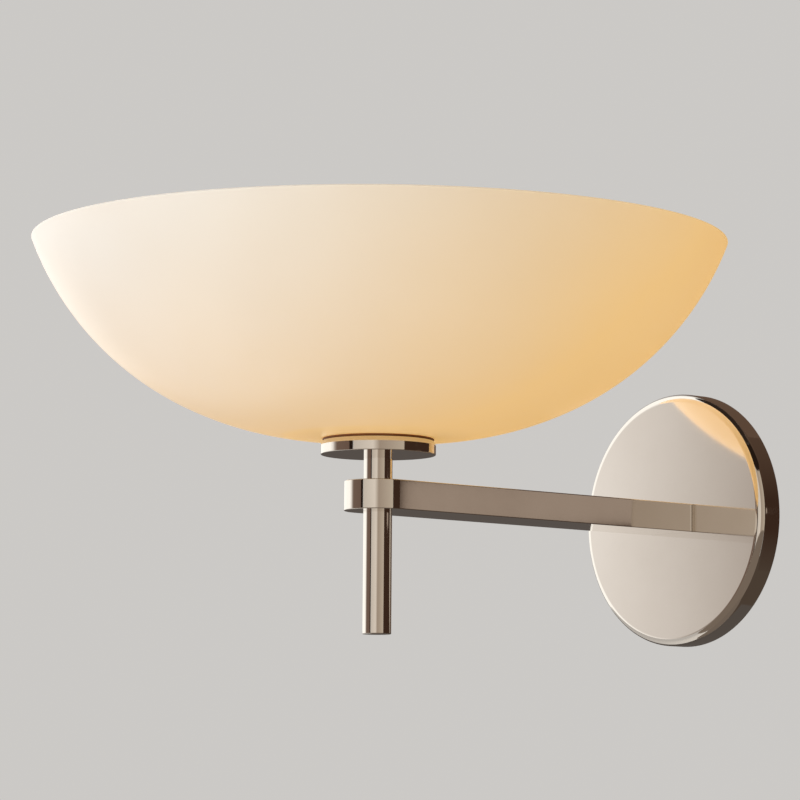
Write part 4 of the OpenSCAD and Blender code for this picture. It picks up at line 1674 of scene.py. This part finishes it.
    def build(self) -> None:
        """Builds and mounts the seven pieces."""
        mount(self.cup().build("holder_cup"), NICKEL, "lampholder_base")
        mount(eased_copy("lampholder_locknut", "holder_nut", self.nut_edge), BRASS, "lampholder_locknut")
        mount(self.core(), CERAMIC, "lampholder_core")
        mount(self.shell().build("holder_sleeve"), NICKEL, "lampholder_shell")
        mount(self.sleeve(), BRASS, "screw_shell")
        mount(eased_copy("centre_contact", "contact_tongue", self.contact_edge), BRASS, "centre_contact")
        mount(self.terminals(), BRASS, "holder_terminal_screws")


@dataclass
class LampAssembly:
    """The short LED lamp: globe, collar, screw cap, insulator, contact and what its globe hides."""

    globe_wall: float = 0.0012
    crown_points: int = 33
    collar_wall: float = 0.001
    collar_lip: float = 0.003
    collar_sweep: float = 0.004
    inner_sweep: float = 0.002
    collar_edge: float = 0.0002
    cap_wall: float = 0.0004
    cap_depth: float = 0.00035
    cap_pitch: float = 0.0036
    cap_points: int = 18
    cap_taper: float = 0.0016
    tip_radius: float = 0.0095
    contact_margin: float = 0.0003
    dome_points: int = 12
    insulator_edge: float = 0.0004
    board_edge: float = 0.0001
    chip_edge: float = 0.0002

    def globe(self) -> Surface:
        """Makes the frosted globe: a straight side under a round crown, hollow inside.

        The crown is a half circle about a centre one radius below its top, and the inside repeats the
        outside one wall thinner.

        Returns:
            The globe.
        """
        box = Extent.of("lamp_globe")
        turn = np.linspace(0, math.pi / 2, self.crown_points)[:, None]
        crown, centre = np.hstack([np.cos(turn), np.sin(turn)]), (0, box.high.z - box.radius)
        inner, outer = (np.vstack([[(radius, box.low.z)], centre + radius * crown])
                        for radius in (box.radius - self.globe_wall, box.radius))
        return turned(stem_axis(), np.vstack([inner[::-1], outer]), Spread.SOLID, steps=144)

    def collar(self) -> Surface:
        """Makes the moulded collar that flares from the cap to the globe.

        Returns:
            The collar.
        """
        box, cap, wall = Extent.of("lamp_collar"), Extent.of("lamp_cap"), self.collar_wall
        foot, mouth = cap.radius - self.cap_wall, Extent.of("lamp_led_board").radius - wall
        neck = box.high.z - self.collar_lip
        section = rounded([(foot, box.low.z), (cap.radius + self.cap_depth, box.low.z, self.collar_edge),
                           (box.radius - wall, neck, self.collar_sweep),
                           (box.radius, box.high.z, self.collar_edge), (mouth, box.high.z),
                           (mouth - wall, neck, self.inner_sweep), (foot - wall, box.low.z + wall)],
                          steps=10)
        return turned(stem_axis(), section, steps=144)

    def cap(self) -> Surface:
        """Makes the rolled screw cap, drawn in at its tip.

        Returns:
            The cap.
        """
        box = Extent.of("lamp_cap")
        root, start = box.radius - self.cap_depth, box.low.z + self.cap_taper
        points = int((box.high.z - start) / self.cap_pitch) * self.cap_points
        side = upright(root, start, box.high.z, points)
        outer = np.vstack([[(self.tip_radius, box.low.z)], side])
        inner = (outer - (self.cap_wall, 0.0))[::-1]
        rolled = Thread(root - self.cap_wall, self.cap_depth, self.cap_pitch, start, box.high.z)
        return turned(stem_axis(), np.vstack([outer, inner]), steps=144, relief=rolled)

    def insulator(self) -> Surface:
        """Makes the glass cone between the cap and the contact.

        Returns:
            The insulator.
        """
        box, foot = Extent.of("lamp_insulator"), Extent.of("lamp_contact").radius + self.contact_margin
        section = rounded([(0, box.low.z), (foot, box.low.z, self.insulator_edge), (box.radius, box.high.z),
                           (0, box.high.z)], closed=False, steps=6)
        return turned(stem_axis(), section, Spread.SOLID, steps=96)

    def contact(self) -> Surface:
        """Makes the soldered contact, with a domed face.

        The dome is a quarter of an ellipse: radius sin t out and height cos t down from the flat top.

        Returns:
            The contact.
        """
        box = Extent.of("lamp_contact")
        turn = np.linspace(0, 1, self.dome_points)[:, None] * math.pi / 2
        dome = np.hstack([box.radius * np.sin(turn), box.high.z - box.height * np.cos(turn)])
        return turned(stem_axis(), np.vstack([dome, [(0, box.high.z)]]), Spread.SOLID, steps=72)

    def build(self) -> None:
        """Builds and mounts the eight pieces."""
        mount(self.globe().build("frosted_globe"), GLOBE, "lamp_globe")
        mount(self.collar().build("lamp_neck"), LAMP_BODY, "lamp_collar")
        mount(self.cap().build("rolled_cap"), LAMP_METAL, "lamp_cap")
        mount(self.insulator().build("cap_insulator"), BLACK_GLASS, "lamp_insulator")
        mount(self.contact().build("cap_contact"), LAMP_METAL, "lamp_contact")
        mount(eased_copy("lamp_led_board", "led_plate", self.board_edge), WHITE_BOARD, "lamp_led_board")
        mount(eased_copy("lamp_led_chips", "led_blocks", self.chip_edge), PHOSPHOR, "lamp_led_chips")
        driver = eased_copy("lamp_driver_board", "driver_plate", self.board_edge)
        mount(driver, GREEN_BOARD, "lamp_driver_board")


@dataclass
class WiringAssembly:
    """The live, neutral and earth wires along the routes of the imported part."""

    radius: float = 0.001
    sides: int = 16
    bend: float = 0.004
    x: float = 0.0013
    sag: float = 0.0015
    wall_gap: float = 0.0045
    pole_x: float = 0.0045
    fan: tuple[float, float] = (0.004, 0.014)
    into_block: float = 0.005
    holder_x: float = 0.0053
    earth_bend: float = 0.008
    earth_end: float = 0.004
    steps: int = 8

    def corner(self, centre: Sequence[float], radius: float, first: float, last: float) -> np.ndarray:
        """Draws an arc in a plane.

        Args:
            centre: The arc's centre.
            radius: Its radius.
            first: Where it starts, in degrees.
            last: Where it ends, in degrees.

        Returns:
            The arc's points, two columns.
        """
        turn = np.radians(np.linspace(first, last, self.steps + 1))[:, None]
        return np.array(centre) + radius * np.hstack([np.cos(turn), np.sin(turn)])

    def lead(self, node: str, side: int) -> np.ndarray:
        """Draws the route of the live or the neutral wire: along the arm, up the stem and into the holder.

        Args:
            node: The wire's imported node.
            side: 1 for the wire on the right of the arm's middle and -1 for the one on the left.

        Returns:
            The route's points.
        """
        tip, stem_y = Extent.of(node).high.z - self.radius, stem_axis().start[1]
        fan_low, fan_high = self.fan
        lift, last_bend = self.bend - self.sag, self.holder_x - self.x
        back = self.corner((-self.wall_gap - self.bend, lift), self.bend, 0, -90)
        rise = self.corner((stem_y + self.bend, lift), self.bend, -90, -180)
        out = self.corner((self.holder_x, tip - last_bend), last_bend, 180, 90)
        down = [(self.pole_x, -self.wall_gap, Extent.of("terminal_block").low.z + self.into_block),
                (self.pole_x, -self.wall_gap, fan_high),
                ((self.pole_x + self.x) / 2, -self.wall_gap, (fan_low + fan_high) / 2),
                (self.x, -self.wall_gap, fan_low)]
        along = np.insert(np.vstack([back, rise]), 0, self.x, axis=1)
        under_seat = [(self.x, stem_y, Extent.of("shade_seat").low.z)]
        route = np.vstack([down, along, under_seat, np.insert(out, 1, stem_y, axis=1)])
        return flowing(route * (side, 1, 1))

    def earth(self) -> np.ndarray:
        """Draws the route of the earth wire, from the strap's screw to the plate's.

        Returns:
            The route's points.
        """
        box, end_x = Extent.of("earth_wire"), Extent.of("plate_earth_screw").middle.x
        screw_z, bend = Extent.of("bracket_earth_screw").middle.z, self.earth_bend
        near_wall, front = box.high.y - self.radius, box.low.y + self.radius
        rise = box.high.z - self.earth_end
        sweep = self.corner((end_x - bend, screw_z + bend), bend, -90, 0)
        forward = [(end_x, (near_wall + front) / 2, (screw_z + bend + rise) / 2),
                   (end_x, front, rise), (end_x, front, box.high.z)]
        start = [(box.low.x, near_wall, screw_z)]
        return flowing(np.vstack([start, np.insert(sweep, 1, near_wall, axis=1), forward]))

    def wire(self, name: str, path: np.ndarray, finish: Finish, node: str) -> bpy.types.Object:
        """Builds and mounts one wire.

        Args:
            name: The piece's name.
            path: The wire's route.
            finish: Its finish.
            node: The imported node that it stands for.

        Returns:
            The wire.
        """
        piece = tube(path, self.radius, self.sides).build(name)
        mount(piece, finish, node)
        return piece

    def build(self) -> None:
        """Builds and mounts the three wires, and marks the sides of the earth wire for its stripe."""
        self.wire("brown_lead", self.lead("live_wire", 1), LIVE, "live_wire")
        self.wire("blue_lead", self.lead("neutral_wire", -1), NEUTRAL, "neutral_wire")
        path = self.earth()
        sleeve = self.wire("striped_lead", path, EARTH, "earth_wire")
        marks = sleeve.data.attributes.new(EARTH.attribute, "FLOAT", "POINT")
        share = np.tile(np.linspace(0, 1, self.sides, endpoint=False), len(path))
        marks.data.foreach_set("value", share.astype(np.float32))


def heading(azimuth: float, elevation: float) -> Vector:
    """Turns two angles into a direction.

    The formula is (sin a cos e, -cos a cos e, sin e).

    Args:
        azimuth: The angle a in degrees: 0 out of the wall, 90 to the right of someone who faces it.
        elevation: The angle e above the horizon, in degrees.

    Returns:
        The direction, one metre long.
    """
    a, e = math.radians(azimuth), math.radians(elevation)
    return Vector((math.sin(a) * math.cos(e), -math.cos(a) * math.cos(e), math.sin(e)))


class Tone(Enum):
    """The tones of the studio's cards."""

    WHITE = (1.30, 1.28, 1.22)
    HAZE = (1.00, 0.95, 0.90)
    TAUPE = (0.47, 0.41, 0.365)
    BROWN = (0.19, 0.13, 0.10)
    DEEP_BROWN = (0.17, 0.11, 0.085)
    BLACK = (0.02, 0.012, 0.008)
    SAND = (0.66, 0.60, 0.53)
    PALE_SAND = (0.82, 0.74, 0.65)
    CLAY = (0.41, 0.33, 0.26)
    BEIGE = (0.57, 0.485, 0.39)
    UMBER = (0.048, 0.025, 0.016)
    SHOULDER_UMBER = (0.083, 0.048, 0.030)
    HIGH_UMBER = (0.12, 0.075, 0.050)
    WARM_UMBER = (0.13, 0.080, 0.054)
    LOW_UMBER = (0.085, 0.062, 0.046)
    CEILING = (0.03, 0.02, 0.015)
    LOW = (0.10, 0.085, 0.075)
    LOW_FRONT = (0.21, 0.165, 0.13)
    UNDER = (0.19, 0.15, 0.12)
    STRIP = (0.375, 0.295, 0.236)


@dataclass(frozen=True)
class Card:
    """A curved card of the studio, seen only in reflections: where it stands and its tones."""

    ATTRIBUTE: ClassVar[str] = "along"
    COLUMNS: ClassVar[int] = 25
    ROWS: ClassVar[int] = 9

    name: str
    azimuths: tuple[float, float]
    elevations: tuple[float, float]
    tone: Tone
    last_tone: Tone | None = None
    upwards: bool = False
    radius: float = 2.3

    def build(self, centre: Vector) -> None:
        """Puts the card round a centre, as a patch of a sphere.

        Each point lies at the radius along the direction (sin a cos e, -cos a cos e, sin e), where a is the
        azimuth and e the elevation. The tones run from the first azimuth to the last one, or upwards.

        Args:
            centre: The middle of the sphere.
        """
        azimuth, elevation = np.meshgrid(np.radians(np.linspace(*self.azimuths, self.COLUMNS)),
                                         np.radians(np.linspace(*self.elevations, self.ROWS)))
        flat = np.cos(elevation)
        away = np.stack([flat * np.sin(azimuth), -flat * np.cos(azimuth), np.sin(elevation)], -1)
        card = net(np.array(centre) + self.radius * away, False, False).build(self.name)
        sheet = NodeSheet.named(self.name)
        light = sheet.add("Emission", Color=(*self.tone.value, 1.0), Strength=1.0)
        if self.last_tone is not None:
            across, up = np.meshgrid(np.linspace(0, 1, self.COLUMNS), np.linspace(0, 1, self.ROWS))
            share = (up if self.upwards else across).ravel().astype(np.float32)
            card.data.attributes.new(self.ATTRIBUTE, "FLOAT", "POINT").data.foreach_set("value", share)
            along = sheet.add("Attribute")
            along.attribute_name = self.ATTRIBUTE
            fade = sheet.mixed(along.outputs["Fac"], self.tone.value, self.last_tone.value)
            sheet.give(light.inputs["Color"], fade)
        sheet.give(sheet.tree.nodes["Material Output"].inputs["Surface"], light.outputs["Emission"])
        sheet.tree.nodes.remove(sheet.shader)
        card.data.materials.append(sheet.material)
        card.visible_camera = card.visible_diffuse = card.visible_shadow = False
        card.visible_transmission = card.visible_volume_scatter = False
        card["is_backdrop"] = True


@dataclass(frozen=True)
class SoftLamp:
    """A soft square lamp of the studio: where it stands, its side, its power in watts and its colour."""

    name: str
    azimuth: float
    elevation: float
    distance: float
    size: float
    power: float
    colour: Colour

    def build(self, centre: Vector) -> None:
        """Hangs the lamp so that it looks at the middle of the object.

        Args:
            centre: The middle of the object.
        """
        away = heading(self.azimuth, self.elevation)
        data = bpy.data.lights.new(self.name, "AREA")
        data.shape, data.size, data.energy, data.color = "SQUARE", self.size, self.power, self.colour
        lamp = put_in_scene(self.name, data)
        turn = away.to_track_quat("Z", "Y").to_matrix().to_4x4()
        lamp.matrix_world = Matrix.Translation(centre + away * self.distance) @ turn
        lamp.visible_camera = lamp.visible_glossy = False


LAMPS = (
    SoftLamp("key", -15.0, 0.0, 2.2, 1.6, 25.0, (1.0, 0.985, 0.96)),
    SoftLamp("front", 65.0, 10.0, 2.4, 1.6, 12.5, (1.0, 0.89, 0.60)),
    SoftLamp("wall_glow", 208.0, -12.0, 1.5, 1.0, 7.0, (1.0, 0.70, 0.45)),
    SoftLamp("back", 229.6, 8.0, 2.2, 1.6, 16.0, (1.0, 0.98, 0.95)),
)
# The lowest and the highest elevation of most of the cards round the horizon, in degrees.
TALL = (-12.0, 60.0)
MIDDLE = (-12.0, 37.0)
CARDS = (
    Card("white_card", (-112.0, -60.0), TALL, Tone.WHITE),
    Card("haze_card", (-60.0, -51.5), TALL, Tone.WHITE, Tone.HAZE),
    Card("fading_card", (-51.5, -46.0), TALL, Tone.HAZE, Tone.TAUPE),
    Card("dusk_card", (-46.0, -40.0), TALL, Tone.TAUPE, Tone.BROWN),
    Card("brown_card", (-40.0, -9.0), TALL, Tone.BROWN, Tone.DEEP_BROWN),
    Card("black_card", (-9.0, -1.0), TALL, Tone.BLACK),
    Card("pale_card", (0.0, 40.0), MIDDLE, Tone.SAND, Tone.PALE_SAND),
    Card("parting_card", (40.0, 53.0), MIDDLE, Tone.PALE_SAND, Tone.CLAY),
    Card("beige_card", (53.0, 103.0), MIDDLE, Tone.CLAY, Tone.BEIGE),
    Card("shadow_card", (0.0, 135.0), (37.0, 60.0), Tone.BLACK),
    Card("dark_card", (103.0, 172.0), (-6.0, 12.0), Tone.UMBER),
    Card("shoulder_card", (103.0, 135.0), (12.0, 37.0), Tone.UMBER, Tone.SHOULDER_UMBER, True),
    Card("high_umber_card", (135.0, 172.0), (12.0, 60.0), Tone.UMBER, Tone.HIGH_UMBER, True),
    Card("umber_card", (172.0, 232.0), (-5.0, 60.0), Tone.WARM_UMBER),
    Card("ceiling_card", (-180.0, 180.0), (60.0, 90.0), Tone.CEILING),
    Card("low_card", (172.0, 248.0), (-65.0, -0.5), Tone.LOW, radius=1.5),
    Card("umber_low_card", (103.0, 172.0), (-35.0, -6.0), Tone.LOW_UMBER, Tone.UMBER, True),
    Card("umber_floor_card", (101.0, 174.0), (-67.0, -29.0), Tone.LOW_UMBER, radius=1.5),
    Card("low_front_card", (-42.0, 103.0), (-67.0, -10.0), Tone.LOW_FRONT, radius=1.5),
    Card("under_card", (-180.0, 180.0), (-90.0, -65.0), Tone.UNDER, radius=1.5),
)
ARM_STRIP = Card("arm_strip", (129.2, 143.8), (3.1, 5.8), Tone.STRIP, radius=0.6)


@dataclass
class Studio:
    """A pale floor, soft lamps, cards for the metal's reflections and the photograph's camera."""

    backdrop: Colour = (0.60, 0.585, 0.565)
    fill: Colour = (0.16, 0.14, 0.12)
    floor_tone: Colour = (0.62, 0.605, 0.585)
    floor_shade: float = 0.97
    floor_z: float = -1.7
    floor_size: float = 24.0
    floor_lift: float = 0.74
    azimuth: float = 49.629
    elevation: float = -6.083
    roll: float = 0.405
    distance: float = 1.865734
    focal_pixels: float = 3819.726
    shift_pixels: tuple[float, float] = (24.0, 24.0)
    target: Point = (-0.056284, -0.1025, 0.041614)
    picture: float = 800.0
    sensor: float = 36.0

    def camera(self) -> None:
        """Stands the camera where the photograph was taken from.

        It looks at the arm's middle from its azimuth and elevation, rolled a little, and is moved sideways
        and up by the target's first and last values. The lens is the focal length in pixels over the
        picture's width, times the sensor.
        """
        a, r = math.radians(self.azimuth), math.radians(self.roll)
        back, level = heading(self.azimuth, self.elevation), Vector((math.cos(a), math.sin(a), 0.0))
        rising = back.cross(level)
        right = level * math.cos(r) + rising * math.sin(r)
        up = rising * math.cos(r) - level * math.sin(r)
        across, middle, rise = self.target
        data = bpy.data.cameras.new("photo_camera")
        data.sensor_width = self.sensor
        data.lens = self.focal_pixels / self.picture * self.sensor
        data.shift_x = -self.shift_pixels[0] / self.picture
        data.shift_y = self.shift_pixels[1] / self.picture
        camera = put_in_scene("photo_camera", data)
        spot = Vector((0.0, middle, 0.0)) + right * across + up * rise + back * self.distance
        camera.matrix_world = Matrix.Translation(spot) @ Matrix((right, up, back)).transposed().to_4x4()
        bpy.context.scene.camera = camera

    def world(self) -> None:
        """Makes a pale backdrop for the camera, for metal and for glass, and a lower fill for the rest."""
        world = bpy.data.worlds.new("studio")
        world.use_nodes = True
        tree = world.node_tree
        tree.nodes.clear()
        choice = tree.nodes.new("ShaderNodeMixShader")
        tree.links.new(seen_or_mirrored(tree), choice.inputs["Fac"])
        for socket, tone in zip((choice.inputs[1], choice.inputs[2]), (self.fill, self.backdrop)):
            plain = tree.nodes.new("ShaderNodeBackground")
            plain.inputs["Color"].default_value = (*tone, 1.0)
            tree.links.new(plain.outputs["Background"], socket)
        output = tree.nodes.new("ShaderNodeOutputWorld")
        tree.links.new(choice.outputs["Shader"], output.inputs["Surface"])
        bpy.context.scene.world = world

    def floor(self) -> None:
        """Lays the floor, well below the light, in a pale matt paint lifted to the backdrop's tone."""
        line = np.linspace(-self.floor_size / 2, self.floor_size / 2, 3)
        x, y = np.meshgrid(line, line)
        piece = net(np.stack([x, y, np.full_like(x, self.floor_z)], -1), False, False).build("floor")
        darker = tuple(self.floor_shade * channel for channel in self.floor_tone)
        paint = Finish("floor_paint", self.floor_tone, darker, (0.7, 0.85), patches=1.2, grain=40.0,
                       relief=2e-4, specular=0.2)
        sheet = NodeSheet(paint.material)
        lift = sheet.math("MULTIPLY", seen_or_mirrored(sheet.tree), self.floor_lift)
        sheet.feed("Emission Strength", lift)
        sheet.set(Emission_Color=(*self.backdrop, 1.0))
        piece.data.materials.append(paint.material)
        piece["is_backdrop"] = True

    def build(self) -> None:
        """Sets the stage, the lamps, the cards and the camera."""
        low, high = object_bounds()
        centre = (low + high) / 2
        self.world()
        self.floor()
        for item in (*LAMPS, *CARDS):
            item.build(centre)
        ARM_STRIP.build(Vector(stem_axis().start))
        self.camera()
        bpy.context.scene.view_settings.view_transform = "Standard"


def main() -> None:
    """Builds every sub-assembly in order, then the studio round it."""
    logging.basicConfig(level=logging.INFO, format="%(name)s: %(message)s")
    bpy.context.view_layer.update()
    for assembly in (ShadeAssembly(), StemAssembly(), ArmAssembly(), CanopyAssembly(), TerminalAssembly(),
                     LampholderAssembly(), LampAssembly(), WiringAssembly()):
        LOG.info("building %s", type(assembly).__name__)
        assembly.build()
    Studio().build()


if __name__ == "__main__":
    main()
